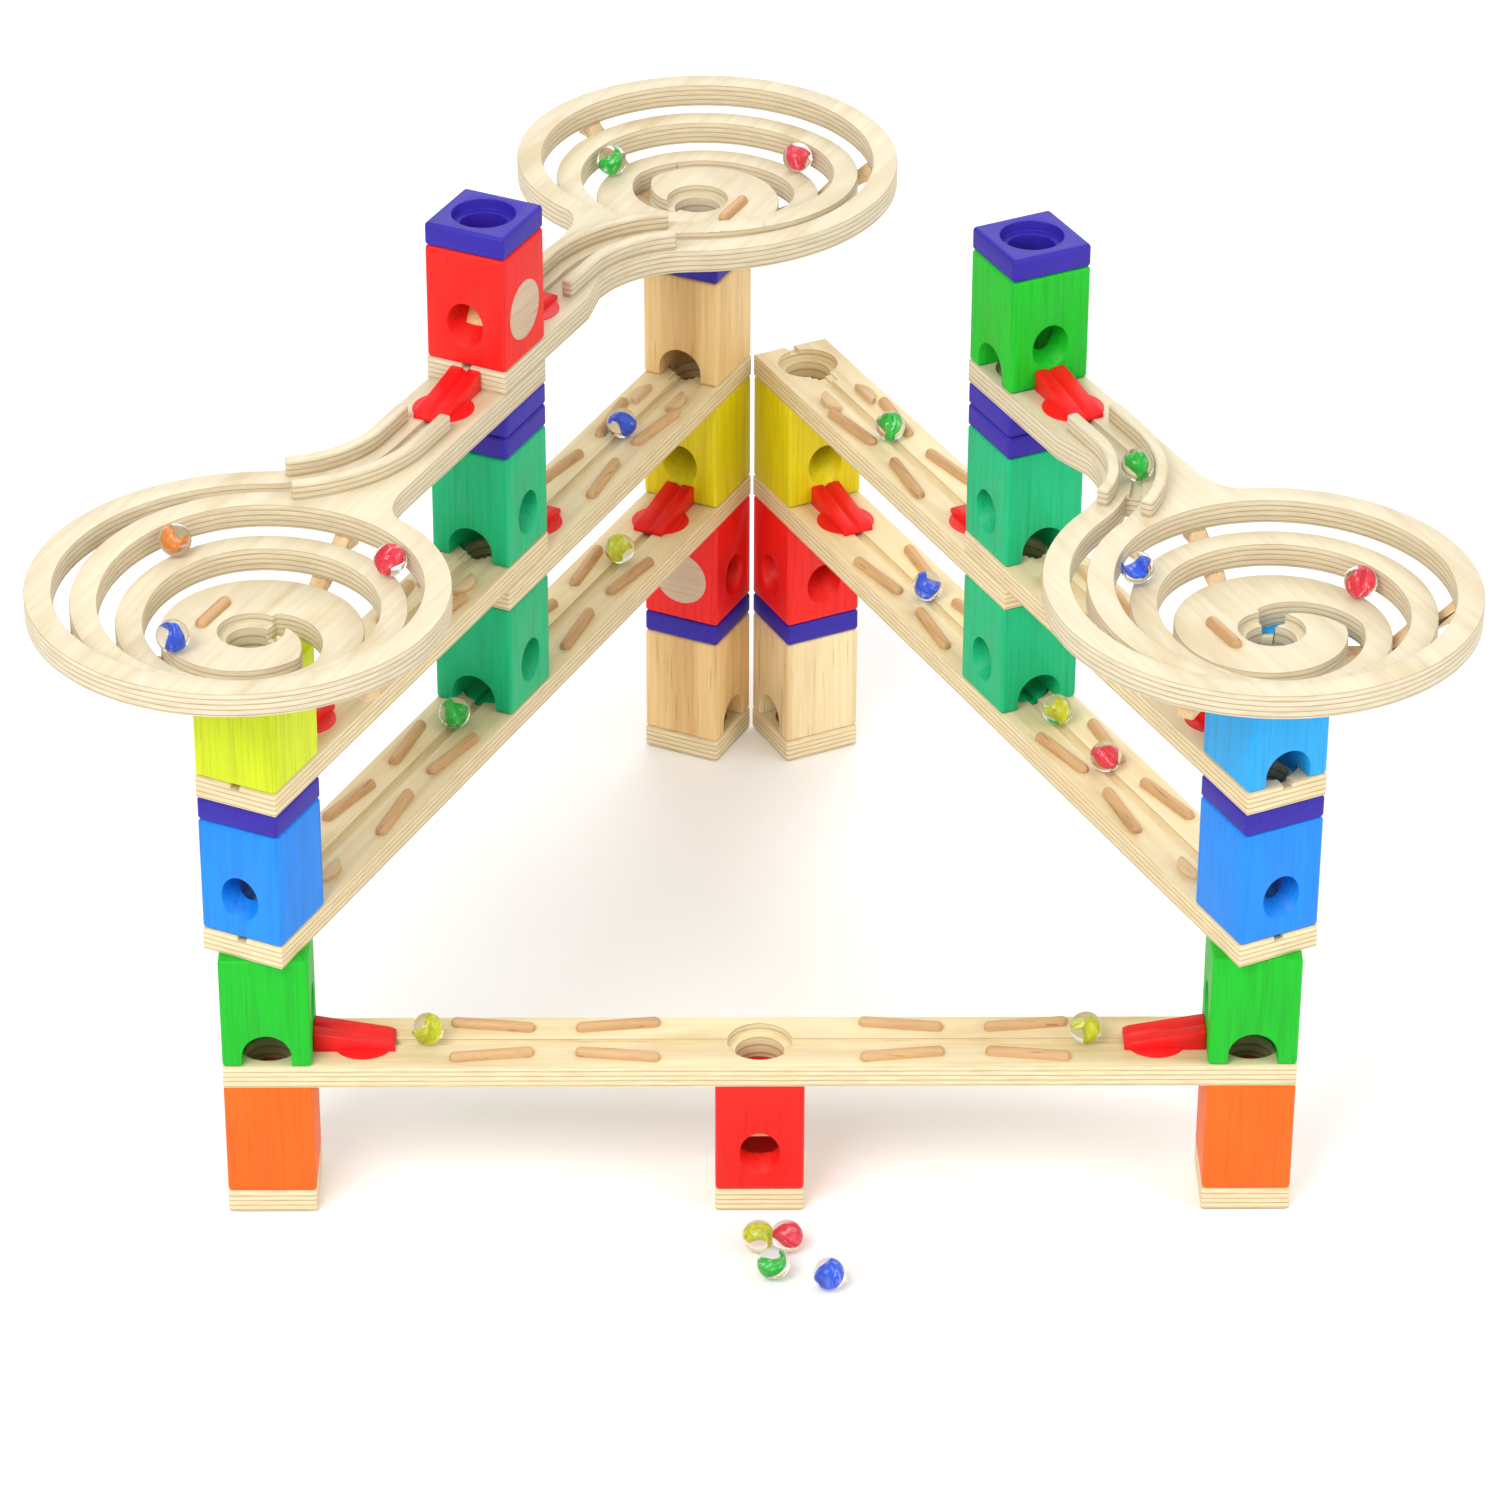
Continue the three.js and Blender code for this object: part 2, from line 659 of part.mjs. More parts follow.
// The two sides. "inner" faces look towards the middle of the toy.
for (const side of [-1, 1]) {
  const frame = side < 0 ? leftSide : rightSide;
  const hand = side < 0 ? "left" : "right";
  const inner = side * RIGHT;
  const middle = SPACING;
  const back = 2 * SPACING;

  addRail(frame, hand + "_low_rail", 0, level(2, 2), 3, ["lumps", "ramp"]);
  addBlock(frame, hand + "_front_blue_block", "blue", 0, level(3, 2), [hole(NEAR), arch(FAR)]);
  addPlate(frame, hand + "_front_plate", 0, level(3, 3));
  addRail(frame, hand + "_upper_rail", 0, level(4, 3), 2, ["ramp", "lumps"]);

  addBlock(
    frame,
    hand + "_middle_lower_teal_block",
    "teal",
    middle,
    level(3, 2),
    [arch(NEAR), arch(FAR), hole(inner)],
    { bridge: true },
  );
  addRail(frame, hand + "_middle_rail", middle, level(3, 3), 2, ["ramp", "lumps"]);
  addBlock(frame, hand + "_middle_upper_teal_block", "teal", middle, level(5, 3), [
    arch(NEAR),
    hole(FAR),
    hole(inner),
  ]);
  addPlate(frame, hand + "_middle_plate_pair", middle, level(5, 4), 2);

  place(frame, hand + "_back_base_plate", "plywood", "base", basePlate, back, 0);
  addBlock(frame, hand + "_back_maple_block", "maple", back, level(1, 0), [arch(inner)]);
  addPlate(frame, hand + "_back_low_plate", back, level(1, 1));
  addBlock(frame, hand + "_back_yellow_block", "yellow", back, level(3, 2), [hole(NEAR)]);
}

// Left front tower top, with the left spiral
addBlock(leftSide, "left_front_yellow_block", "yellow", 0, level(5, 3), [hole(FAR)]);
addSpiral(leftSide, "left_spiral", 0, level(5, 4), 0, [
  ["orange", 1.1],
  ["red", 0.82],
]);

// Right front tower top, with the right spiral
addBlock(rightSide, "right_front_light_blue_block", "light_blue", 0, level(5, 3), [
  arch(NEAR),
  hole(FAR),
]);
addSpiral(rightSide, "right_spiral", 0, level(5, 4), 0, [
  ["blue", 1.05],
  ["red", 1.7],
]);

// Left middle tower top: the switch feeds the left and the back spiral
addSwitch(leftSide, "left_middle_top", SPACING, level(9, 4), RIGHT);
addPlate(leftSide, "left_middle_cap_plate", SPACING, level(9, 5));

// Right middle tower top
addBlock(rightSide, "right_middle_top_green_block", "green", SPACING, level(8, 4), [
  hole(NEAR),
  arch(RIGHT),
]);
addPlate(rightSide, "right_middle_cap_plate", SPACING, level(8, 5));

// Back towers: a switch on the left, a two-way block on the right
addSwitch(leftSide, "left_back", 2 * SPACING, level(2, 1), 0);
addBlock(rightSide, "right_back_red_block", "red", 2 * SPACING, level(2, 1), [
  hole(NEAR),
  hole(RIGHT),
]);
addBlock(leftSide, "left_back_upper_maple_block", "maple", 2 * SPACING, level(4, 3), [arch(NEAR)]);
addPlate(leftSide, "left_back_plate_pair", 2 * SPACING, level(4, 4), 2);
addSpiral(leftSide, "back_spiral", 2 * SPACING, level(6, 4), Math.PI, [
  ["green", 1.66],
  ["red", 1.33],
]);

// Marbles on the rails
addRailMarble(world, "front_rail", "yellow", 78 - SPACING, level(2, 1));
addRailMarble(leftSide, "left_low_rail", "green", 199, level(3, 2));
addRailMarble(rightSide, "right_low_rail", "red", 150, level(3, 2));
addRailMarble(leftSide, "left_middle_rail", "blue", SPACING + 150, level(4, 3));
addRailMarble(rightSide, "right_middle_rail", "green", SPACING + 146, level(4, 3));

// The origin goes to the centre of the footprint.
const bounds = new THREE.Box3().setFromObject(world, true);
world.position.x -= (bounds.min.x + bounds.max.x) / 2;
world.position.y -= (bounds.min.y + bounds.max.y) / 2;

export default group;
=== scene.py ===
"""Wooden marble run: fine pieces, materials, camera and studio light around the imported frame.

Shapes are drawn in millimetres, in the local frame of the tower, rail or spiral that they belong to,
and are scaled to metres when they are placed.
"""

import math
import zlib

import bpy
from mathutils import Matrix, Vector


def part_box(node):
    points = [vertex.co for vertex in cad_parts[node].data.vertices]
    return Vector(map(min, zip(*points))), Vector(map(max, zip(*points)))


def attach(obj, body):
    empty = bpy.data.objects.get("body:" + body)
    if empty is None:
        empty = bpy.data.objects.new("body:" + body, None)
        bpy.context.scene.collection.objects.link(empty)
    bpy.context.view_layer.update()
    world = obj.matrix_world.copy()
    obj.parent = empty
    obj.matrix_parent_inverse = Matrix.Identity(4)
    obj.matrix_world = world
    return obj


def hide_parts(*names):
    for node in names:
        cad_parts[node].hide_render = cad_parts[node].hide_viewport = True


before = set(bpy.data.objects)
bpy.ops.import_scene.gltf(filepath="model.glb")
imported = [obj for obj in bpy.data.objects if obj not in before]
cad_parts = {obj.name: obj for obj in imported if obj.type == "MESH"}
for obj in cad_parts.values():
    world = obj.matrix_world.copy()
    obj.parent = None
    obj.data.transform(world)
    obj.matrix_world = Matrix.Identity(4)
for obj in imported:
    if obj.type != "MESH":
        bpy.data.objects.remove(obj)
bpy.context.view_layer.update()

# ---- driving dimensions, in millimetres ---------------------------------------------------
MM = 0.001
ROOT = "towers_and_tracks"
BLOCK_W = 44.0
BLOCK_H = 62.0
BOARD_T = 12.4
SPACING = 242.0
ARM_ANGLE = math.radians(64)
MARBLE_R = 8.0

ROUNDING = 2.0  # of the painted blocks' edges
BORE_R = 12.0
SOCKET_R = 16.0
SOCKET_DEPTH = 5.5
SPIGOT_R = 15.0
SPIGOT_H = 5.0
GAP = 0.3
ROUND = 64  # facets of a full circle
SOFT = 0.35  # width of the softened edges

ARCH_W = 24.5
ARCH_H = 18.0
SIDE_HOLE_R = 10.0
SIDE_HOLE_Z = 22.0
SIDE_HOLE_SLOPE = math.radians(33)
CHAMBER_R = 16.0
CHAMBER_Z = 26.0
CHAMBER_HALF = 10.0
PLUG_R = 15.5
ROCKER_HALF = 8.5
ROCKER_REACH = 14.0
ROCKER_PLATE = 2.6
ROCKER_TILT = math.radians(24)
WING_DROP = math.radians(15)
PIN_R = 2.0
PIN_HALF = 15.0

GROOVE_W = 5.0
GROOVE_DEPTH = 2.5
RAMP_LENGTH = 40.0
RAMP_W = 17.0
RAMP_HIGH = 11.0
RAMP_LOW = 4.0
RAMP_VALLEY = 4.0  # half the diagonal of the square rod that cuts the valley
RAMP_SHOULDER = 2.2  # the long top edges are planed off
RAMP_FOOT_R = 15.5
RAMP_FOOT_X = 46.5
LIP_LENGTH = 20.0
LIP_W = 6.0
LIP_H = 3.5
LIP_OFFSET = 8.5
NOTCH_HALF = 6.0
NOTCH_DEPTH = 1.2
GUIDE_LENGTH = 42.0
GUIDE_W = 6.0
GUIDE_H = 4.0
GUIDE_OFFSET = 13.0
GUIDE_SPLAY = math.radians(7)
GUIDE_STATIONS = (110.0, 172.0)

SPIRAL_R = 111.5
SPIRAL_PITCH = 21.0
SPIRAL_BAND = 13.0
SPIRAL_SLOT = SPIRAL_PITCH - SPIRAL_BAND
SPIRAL_START = math.radians(26)
SPIRAL_FALL = 2 * BOARD_T
SPIRAL_TURNS = 2.62
SPIRAL_SLOPE = 0.42
BEND_R = 72.0
FENCE_T = 6.0
FENCE_H = 9.0
FENCE_OFFSET = 8.7
FENCE_START = 176.0  # from the spiral's axis, along the arm
BEND_START = 150.0
NECK_START = 172.0
NECK_FILLET = (89.0, 115.0)
RIM_TURNS = 0.86  # where the rim meets the fillet of the arm
PEG_LENGTH = 28.0
PEG_AT = (5.0, 23.5)
BRACKET_ANGLES = (("a", -4), ("b", 126), ("c", 246))
BRACKET_T = 9.0
BRACKET_H = 8.0


# ---- meshes -------------------------------------------------------------------------------
def mesh_of(vertices, faces):
    mesh = bpy.data.meshes.new("shape")
    mesh.from_pydata([tuple(v) for v in vertices], [], faces)
    mesh.update()
    return mesh


def moved(mesh, matrix):
    mesh.transform(matrix)
    if matrix.determinant() < 0:
        mesh.flip_normals()
    return mesh


def shifted(mesh, x=0.0, y=0.0, z=0.0):
    return moved(mesh, Matrix.Translation((x, y, z)))


def turned(mesh, angle, axis="Z"):
    return moved(mesh, Matrix.Rotation(angle, 4, axis))


def loft(loops, closed_ends=True):
    """Closed loops of equal length, joined one to the next."""
    count = len(loops[0])
    vertices = [p for loop in loops for p in loop]
    faces = []
    for i in range(len(loops) - 1):
        a = i * count
        b = a + count
        for k in range(count):
            n = (k + 1) % count
            faces.append((a + k, a + n, b + n, b + k))
    if closed_ends:
        faces.append(tuple(reversed(range(count))))
        last = (len(loops) - 1) * count
        faces.append(tuple(range(last, last + count)))
    return mesh_of(vertices, faces)


def prism(outline, z0, z1):
    """A flat outline, counter-clockwise, raised from z0 to z1."""
    area = sum(a[0] * b[1] - b[0] * a[1] for a, b in zip(outline, outline[1:] + outline[:1]))
    points = outline if area > 0 else outline[::-1]
    return loft([[(x, y, z0) for x, y in points], [(x, y, z1) for x, y in points]])


def side_prism(outline, y0, y1):
    """An outline in the X-Z plane, as thick as y0 to y1."""
    return turned(prism(outline, -y1, -y0), math.pi / 2, "X")


def cylinder(radius, z0, z1, x=0.0, y=0.0, facets=ROUND):
    ring = [2 * math.pi * i / facets for i in range(facets)]
    return prism([(x + radius * math.cos(a), y + radius * math.sin(a)) for a in ring], z0, z1)


def lying(radius, x0, x1, z=0.0, facets=ROUND):
    return shifted(turned(cylinder(radius, x0, x1, facets=facets), math.pi / 2, "Y"), z=z)


def cuboid(x0, x1, y0, y1, z0, z1):
    return prism([(x0, y0), (x1, y0), (x1, y1), (x0, y1)], z0, z1)


def rounded_rectangle(half_x, half_y, radius, steps=5):
    points = []
    for quarter, (sx, sy) in enumerate([(1, 1), (-1, 1), (-1, -1), (1, -1)]):
        for i in range(steps + 1):
            a = math.pi / 2 * (quarter + i / steps)
            x = sx * (half_x - radius) + radius * math.cos(a)
            y = sy * (half_y - radius) + radius * math.sin(a)
            points.append((x, y))
    return points


def softened_box(half_x, half_y, height, radius, steps=4):
    """A board or block whose edges are all rounded."""
    loops = []
    for i in range(steps + 1):
        a = math.pi / 2 * i / steps
        loops.append((radius * (1 - math.sin(a)), radius * (1 - math.cos(a))))
    profile = loops + [(inset, height - z) for inset, z in reversed(loops)]
    rings = []
    for inset, z in profile:
        corner = max(radius - inset, 0.05)
        ring = rounded_rectangle(half_x - inset, half_y - inset, corner)
        rings.append([(x, y, z) for x, y in ring])
    return loft(rings)


def shape_object(mesh):
    made = bpy.data.objects.new("shape", mesh)
    bpy.context.scene.collection.objects.link(made)
    return made


def carve(body, joins=(), cuts=(), soft=SOFT):
    """One mesh: body plus joins minus cuts, its sharp edges softened by soft millimetres."""
    target = shape_object(body)
    tools = []
    for operation, meshes in (("UNION", joins), ("DIFFERENCE", cuts)):
        for mesh in meshes:
            tool = shape_object(mesh)
            tools.append(tool)
            step = target.modifiers.new("carve", "BOOLEAN")
            step.operation = operation
            step.solver = "EXACT"
            step.object = tool
    weld = target.modifiers.new("weld", "WELD")
    weld.merge_threshold = 0.005
    if soft:
        edge = target.modifiers.new("soften", "BEVEL")
        edge.width = soft
        edge.segments = 2
        edge.limit_method = "ANGLE"
        edge.angle_limit = math.radians(38)
        edge.use_clamp_overlap = False
        edge.miter_outer = "MITER_SHARP"
        target.modifiers.new("normals", "WEIGHTED_NORMAL").keep_sharp = True
    bpy.context.view_layer.update()
    graph = bpy.context.evaluated_depsgraph_get()
    made = bpy.data.meshes.new_from_object(target.evaluated_get(graph))
    for used in [target] + tools:
        bpy.data.objects.remove(used)
    return made


def joined(meshes):
    """Several separate solids in one mesh."""
    vertices = []
    faces = []
    for mesh in meshes:
        start = len(vertices)
        vertices += [tuple(v.co) for v in mesh.vertices]
        faces += [tuple(start + i for i in face.vertices) for face in mesh.polygons]
    return mesh_of(vertices, faces)


def smooth(mesh, angle=math.radians(38)):
    mesh.shade_smooth()
    mesh.set_sharp_from_angle(angle=angle)
    return mesh


# ---- materials ----------------------------------------------------------------------------
class Nodes:
    """Short hands for building one material's node tree."""

    def __init__(self, name):
        self.material = bpy.data.materials.new(name)
        self.material.use_nodes = True
        self.tree = self.material.node_tree
        self.shader = self.tree.nodes["Principled BSDF"]

    def add(self, kind, inputs=None, **settings):
        node = self.tree.nodes.new(kind)
        for key, value in settings.items():
            setattr(node, key, value)
        for key, value in (inputs or {}).items():
            if isinstance(value, bpy.types.NodeSocket):
                self.tree.links.new(value, node.inputs[key])
            else:
                node.inputs[key].default_value = value
        return node

    def math(self, operation, a, b=0.0, c=0.0):
        return self.add("ShaderNodeMath", {0: a, 1: b, 2: c}, operation=operation).outputs[0]

    def coordinates(self, scale):
        """Places in the piece's own wood, from its 'grain' attribute, stretched."""
        place = self.add("ShaderNodeAttribute", attribute_name="grain").outputs["Vector"]
        return self.add("ShaderNodeVectorMath", {0: place, 1: scale}, operation="MULTIPLY").outputs[0]

    def noise(self, vector, scale=1.0, detail=3.0, roughness=0.55, distortion=0.0):
        inputs = {
            "Vector": vector,
            "Scale": scale,
            "Detail": detail,
            "Roughness": roughness,
            "Distortion": distortion,
        }
        return self.add("ShaderNodeTexNoise", inputs).outputs["Fac"]

    def ramp(self, factor, stops):
        node = self.add("ShaderNodeValToRGB", {0: factor})
        ramp = node.color_ramp
        while len(ramp.elements) < len(stops):
            ramp.elements.new(0.5)
        for element, (position, colour) in zip(ramp.elements, stops):
            element.position = position
            element.color = (*colour, 1.0)
        return node.outputs["Color"]

    def mix(self, factor, a, b, blend="MIX"):
        node = self.add("ShaderNodeMix", data_type="RGBA", blend_type=blend)
        for index, value in ((0, factor), (6, a), (7, b)):
            if isinstance(value, bpy.types.NodeSocket):
                self.tree.links.new(value, node.inputs[index])
            elif index == 0:
                node.inputs[index].default_value = value
            else:
                node.inputs[index].default_value = (*value, 1.0)
        return node.outputs[2]

    def finish(self, colour, roughness, bump, strength=0.25, distance=0.0002, **constants):
        self.tree.links.new(colour, self.shader.inputs["Base Color"])
        if isinstance(roughness, bpy.types.NodeSocket):
            self.tree.links.new(roughness, self.shader.inputs["Roughness"])
        else:
            self.shader.inputs["Roughness"].default_value = roughness
        inputs = {"Height": bump, "Strength": strength, "Distance": distance}
        normal = self.add("ShaderNodeBump", inputs).outputs["Normal"]
        self.tree.links.new(normal, self.shader.inputs["Normal"])
        for key, value in constants.items():
            self.shader.inputs[key.replace("_", " ")].default_value = value
        return self.material


def scaled(colour, k):
    return tuple(min(c * k, 1.0) for c in colour)


GRAIN_ALONG = 14.0  # grain frequencies along and across the fibres, per metre
GRAIN_ACROSS = 420.0


def grain_scale(axis):
    scale = [GRAIN_ACROSS] * 3
    scale["XYZ".index(axis)] = GRAIN_ALONG
    return scale


def painted(name, colour, axis="Z", fade=0.80, gloss=0.46):
    """Stained wood: the fibres show through the colour, with short dark pores."""
    n = Nodes(name)
    fibres = n.noise(n.coordinates(grain_scale(axis)), 1.0, 4.0, 0.65)
    cloud = n.noise(n.coordinates([30.0] * 3), 1.0, 2.0)
    pores = n.noise(n.coordinates([k * 2.2 for k in grain_scale(axis)]), 1.0, 2.0, 0.5)
    body = n.ramp(fibres, [(0.30, scaled(colour, fade)), (0.50, colour), (0.74, scaled(colour, 1.08))])
    shade = n.ramp(cloud, [(0.3, (0.92, 0.92, 0.92)), (0.7, (1.0, 1.0, 1.0))])
    body = n.mix(1.0, body, shade, "MULTIPLY")
    dark = n.ramp(pores, [(0.30, (0.60, 0.60, 0.60)), (0.37, (1.0, 1.0, 1.0))])
    body = n.mix(0.45, body, dark, "MULTIPLY")
    rough = n.math("MULTIPLY_ADD", fibres, 0.16, gloss - 0.05)
    return n.finish(body, rough, fibres, 0.25, 0.00018, Specular_IOR_Level=0.28)


def natural(name, light, dark, axis="Z", specks=0.5):
    """Sanded hardwood, with broad figure, fine fibres and small dark flecks."""
    n = Nodes(name)
    figure = n.noise(n.coordinates([k * 0.16 for k in grain_scale(axis)]), 1.0, 3.0, 0.5, 0.6)
    fibres = n.noise(n.coordinates(grain_scale(axis)), 1.0, 4.0, 0.65)
    flecks = n.noise(n.coordinates([k * 1.6 for k in grain_scale(axis)]), 1.0, 1.0, 0.4)
    body = n.ramp(figure, [(0.32, dark), (0.5, light), (0.72, scaled(light, 1.08))])
    fine = n.ramp(fibres, [(0.3, (0.84, 0.80, 0.74)), (0.6, (1.0, 1.0, 1.0))])
    body = n.mix(0.8, body, fine, "MULTIPLY")
    fleck = n.ramp(flecks, [(0.27, (0.45, 0.28, 0.16)), (0.34, (1.0, 1.0, 1.0))])
    body = n.mix(specks, body, fleck, "MULTIPLY")
    rough = n.math("MULTIPLY_ADD", fibres, 0.15, 0.42)
    return n.finish(body, rough, fibres, 0.22, 0.00015)


PLIES = 9
BIRCH = (0.82, 0.69, 0.43)
PALE_BIRCH = (0.70, 0.62, 0.44)
PLY_LINE = (0.60, 0.46, 0.34)  # darkening of the glue lines


def birch_plywood(name, birch):
    """Birch veneer on the faces and layers of plies on the edges, which follow the 'ply' attribute."""
    n = Nodes(name)
    dark = (0.90 * birch[0], 0.84 * birch[1], 0.74 * birch[2])
    line = tuple(a * b for a, b in zip(birch, PLY_LINE))
    between = tuple(a * (0.4 + 0.6 * b) for a, b in zip(birch, PLY_LINE))
    face_fibres = n.noise(n.coordinates([10.0, 260.0, 60.0]), 1.0, 4.0, 0.6, 0.3)
    figure = n.noise(n.coordinates([9.0, 42.0, 20.0]), 1.0, 2.0, 0.5, 0.8)
    face = n.ramp(figure, [(0.3, dark), (0.48, birch), (0.75, scaled(birch, 1.06))])
    fine = n.ramp(face_fibres, [(0.32, (0.86, 0.82, 0.76)), (0.6, (1.0, 1.0, 1.0))])
    face = n.mix(0.7, face, fine, "MULTIPLY")

    height = n.add("ShaderNodeAttribute", attribute_name="ply").outputs["Fac"]
    waver = n.noise(n.coordinates([40.0, 40.0, 40.0]), 1.0, 2.0)
    layer = n.math("MULTIPLY_ADD", waver, 0.25, n.math("MULTIPLY", height, PLIES))
    saw = n.math("FRACT", n.math("MULTIPLY", layer, 0.5))
    wave = n.math("ABSOLUTE", n.math("MULTIPLY_ADD", saw, 2.0, -1.0))
    stops = [(0.02, line), (0.14, between), (0.34, scaled(birch, 0.97)), (0.9, birch)]
    layers = n.ramp(wave, stops)
    streaks = n.noise(n.coordinates([60.0, 60.0, 900.0]), 1.0, 3.0, 0.6)
    speckle = n.ramp(streaks, [(0.3, (0.76, 0.70, 0.62)), (0.6, (1.0, 1.0, 1.0))])
    edge = n.mix(0.7, layers, speckle, "MULTIPLY")

    normal = n.add("ShaderNodeNewGeometry").outputs["Normal"]
    up = n.math("ABSOLUTE", n.add("ShaderNodeSeparateXYZ", {0: normal}).outputs[2])
    flat = n.math("SMOOTH_MIN", n.math("MAXIMUM", n.math("MULTIPLY_ADD", up, 4.0, -2.4), 0.0), 1.0, 0.1)
    body = n.mix(flat, edge, face)
    relief = n.math("MULTIPLY_ADD", wave, 0.5, face_fibres)
    rough = n.math("MULTIPLY_ADD", face_fibres, 0.14, 0.46)
    return n.finish(body, rough, relief, 0.2, 0.00015)


def clear_glass(name):
    n = Nodes(name)
    ripple = n.noise(n.coordinates([120.0] * 3), 1.0, 2.0)
    tint = n.ramp(ripple, [(0.3, (0.93, 0.98, 0.97)), (0.7, (1.0, 1.0, 1.0))])
    n.finish(tint, 0.02, ripple, 0.05, 0.0001)
    n.shader.inputs["Transmission Weight"].default_value = 1.0
    n.shader.inputs["IOR"].default_value = 1.3
    return n.material


def glowing_glass_core(name, colour):
    """The coloured ribbon inside a marble, with a white edge and a faint painted glow."""
    n = Nodes(name)
    streak = n.noise(n.coordinates([500.0, 500.0, 160.0]), 1.0, 3.0, 0.6)
    body = n.ramp(streak, [(0.35, scaled(colour, 0.75)), (0.6, colour), (0.85, (0.9, 0.95, 0.95))])
    n.finish(body, 0.2, streak, 0.1, 0.0001)
    # Painted glow: the swirl emits its own colour faintly, though it is no lamp.
    n.tree.links.new(body, n.shader.inputs["Emission Color"])
    n.shader.inputs["Emission Strength"].default_value = 0.12
    return n.material


PAINTS = {
    "red": (0.86, 0.012, 0.008),
    "orange": (0.90, 0.135, 0.006),
    "yellow": (0.74, 0.62, 0.004),
    "green": (0.006, 0.48, 0.016),
    "teal": (0.005, 0.47, 0.19),
    "blue": (0.008, 0.24, 0.84),
    "light_blue": (0.02, 0.40, 0.88),
    "purple": (0.032, 0.016, 0.36),
}
WOOD = {name + "_wood": painted(name + "_stained_wood", colour) for name, colour in PAINTS.items()}
WOOD["natural_maple"] = natural("maple", (0.84, 0.58, 0.26), (0.70, 0.42, 0.16))
PALE_MAPLE = natural("pale_maple", (0.84, 0.68, 0.40), (0.76, 0.56, 0.28))
LEMON_WOOD = painted("lemon_stained_wood", (0.64, 0.76, 0.005))
WOOD["birch_plywood"] = birch_plywood("birch_plywood", BIRCH)
PURPLE_BOARD = painted("purple_stained_board", PAINTS["purple"], "X")
RED_RAMP = painted("red_stained_ramp", (0.84, 0.010, 0.010), "X", 0.86, 0.36)
DOWEL = natural("beech_dowel", (0.62, 0.38, 0.18), (0.50, 0.27, 0.11), "X", 0.6)
LIP_WOOD = natural("pale_beech", (0.70, 0.50, 0.28), (0.60, 0.39, 0.19), "X", 0.3)
PLUG_WOOD = natural("end_grain_plug", (0.60, 0.44, 0.31), (0.50, 0.34, 0.22), "Y", 0.4)
SPIRAL_PLY = birch_plywood("pale_birch_plywood", PALE_BIRCH)
GLASS = clear_glass("clear_glass")
SWIRLS = {
    "red": (0.85, 0.03, 0.06),
    "orange": (0.85, 0.25, 0.03),
    "blue": (0.02, 0.10, 0.80),
    "green": (0.02, 0.55, 0.05),
    "yellow": (0.70, 0.72, 0.02),
}
CORES = {name: glowing_glass_core(name + "_swirl", colour) for name, colour in SWIRLS.items()}

# ---- placing ------------------------------------------------------------------------------
shapes = {}


def shape(key, make):
    """The mesh made once for identical pieces, and copied for each of them."""
    if key not in shapes:
        shapes[key] = make()
    return shapes[key].copy()


def keep_grain(mesh, name):
    """Stores each vertex's place in its own piece of wood, moved on so that no two pieces match."""
    shift = 3.0 * zlib.crc32(name.encode()) / 2**32
    places = [0.0] * (3 * len(mesh.vertices))
    mesh.vertices.foreach_get("co", places)
    layer = mesh.attributes.new("grain", "FLOAT_VECTOR", "POINT")
    layer.data.foreach_set("vector", [p + shift for p in places])


def free_piece(name, mesh, material):
    """An object with one material, where its mesh lies."""
    mesh.name = name
    mesh.materials.clear()
    mesh.materials.append(material)
    made = bpy.data.objects.new(name, mesh)
    bpy.context.scene.collection.objects.link(made)
    return made


def piece(name, mesh, place, material, body=ROOT, replaces=()):
    """A finished piece at place, a matrix in millimetres, riding on a CAD body."""
    mesh.transform(Matrix.Scale(MM, 4))
    keep_grain(mesh, name)
    in_metres = place.copy()
    in_metres.translation *= MM
    mesh.transform(in_metres)
    made = free_piece(name, mesh, material)
    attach(made, body)
    if replaces:
        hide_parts(*replaces)
    return made


def axis_of(node):
    """The middle of a node seen from above, in millimetres."""
    low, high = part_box(node)
    return (low + high) / 2 / MM


centre = axis_of("front_centre_base_plate")
WORLD = Matrix.Translation((centre.x, centre.y, 0))
LEFT = WORLD @ Matrix.Translation((-SPACING, 0, 0)) @ Matrix.Rotation(ARM_ANGLE, 4, "Z")
RIGHT = WORLD @ Matrix.Translation((SPACING, 0, 0)) @ Matrix.Rotation(math.pi - ARM_ANGLE, 4, "Z")


def level(boards, blocks):
    return boards * BOARD_T + blocks * BLOCK_H


def at(parent, x, z, y=0.0, turn=0.0):
    return parent @ Matrix.Translation((x, y, z)) @ Matrix.Rotation(turn, 4, "Z")


def with_plies(mesh, height=lambda co: co.z / BOARD_T):
    """Stores how far up its board each vertex lies, for the plywood's layers."""
    layer = mesh.attributes.new("ply", "FLOAT", "POINT")
    for vertex, value in zip(mesh.vertices, layer.data):
        value.value = min(max(height(vertex.co), 0.0), 1.0)
    return mesh


# ---- blocks and plates --------------------------------------------------------------------
THROUGH = -SPIGOT_H - 1


def socket_cut(top, x=0.0):
    return cylinder(SOCKET_R, top - SOCKET_DEPTH, top + 1, x)


def spigot(bottom, x=0.0):
    return cylinder(SPIGOT_R, bottom - SPIGOT_H, bottom + 1, x)


def bore_cut(low, high, x=0.0):
    return cylinder(BORE_R, low, high, x)


def arch_cut(facing):
    half = ARCH_W / 2
    crown = ARCH_H - half
    steps = 24
    arc = [math.pi * i / steps for i in range(steps + 1)]
    outline = [(-half, THROUGH), (half, THROUGH)]
    outline += [(half * math.cos(a), crown + half * math.sin(a)) for a in arc]
    return turned(side_prism(outline, -BLOCK_W / 2 - 1, 0), facing + math.pi / 2)


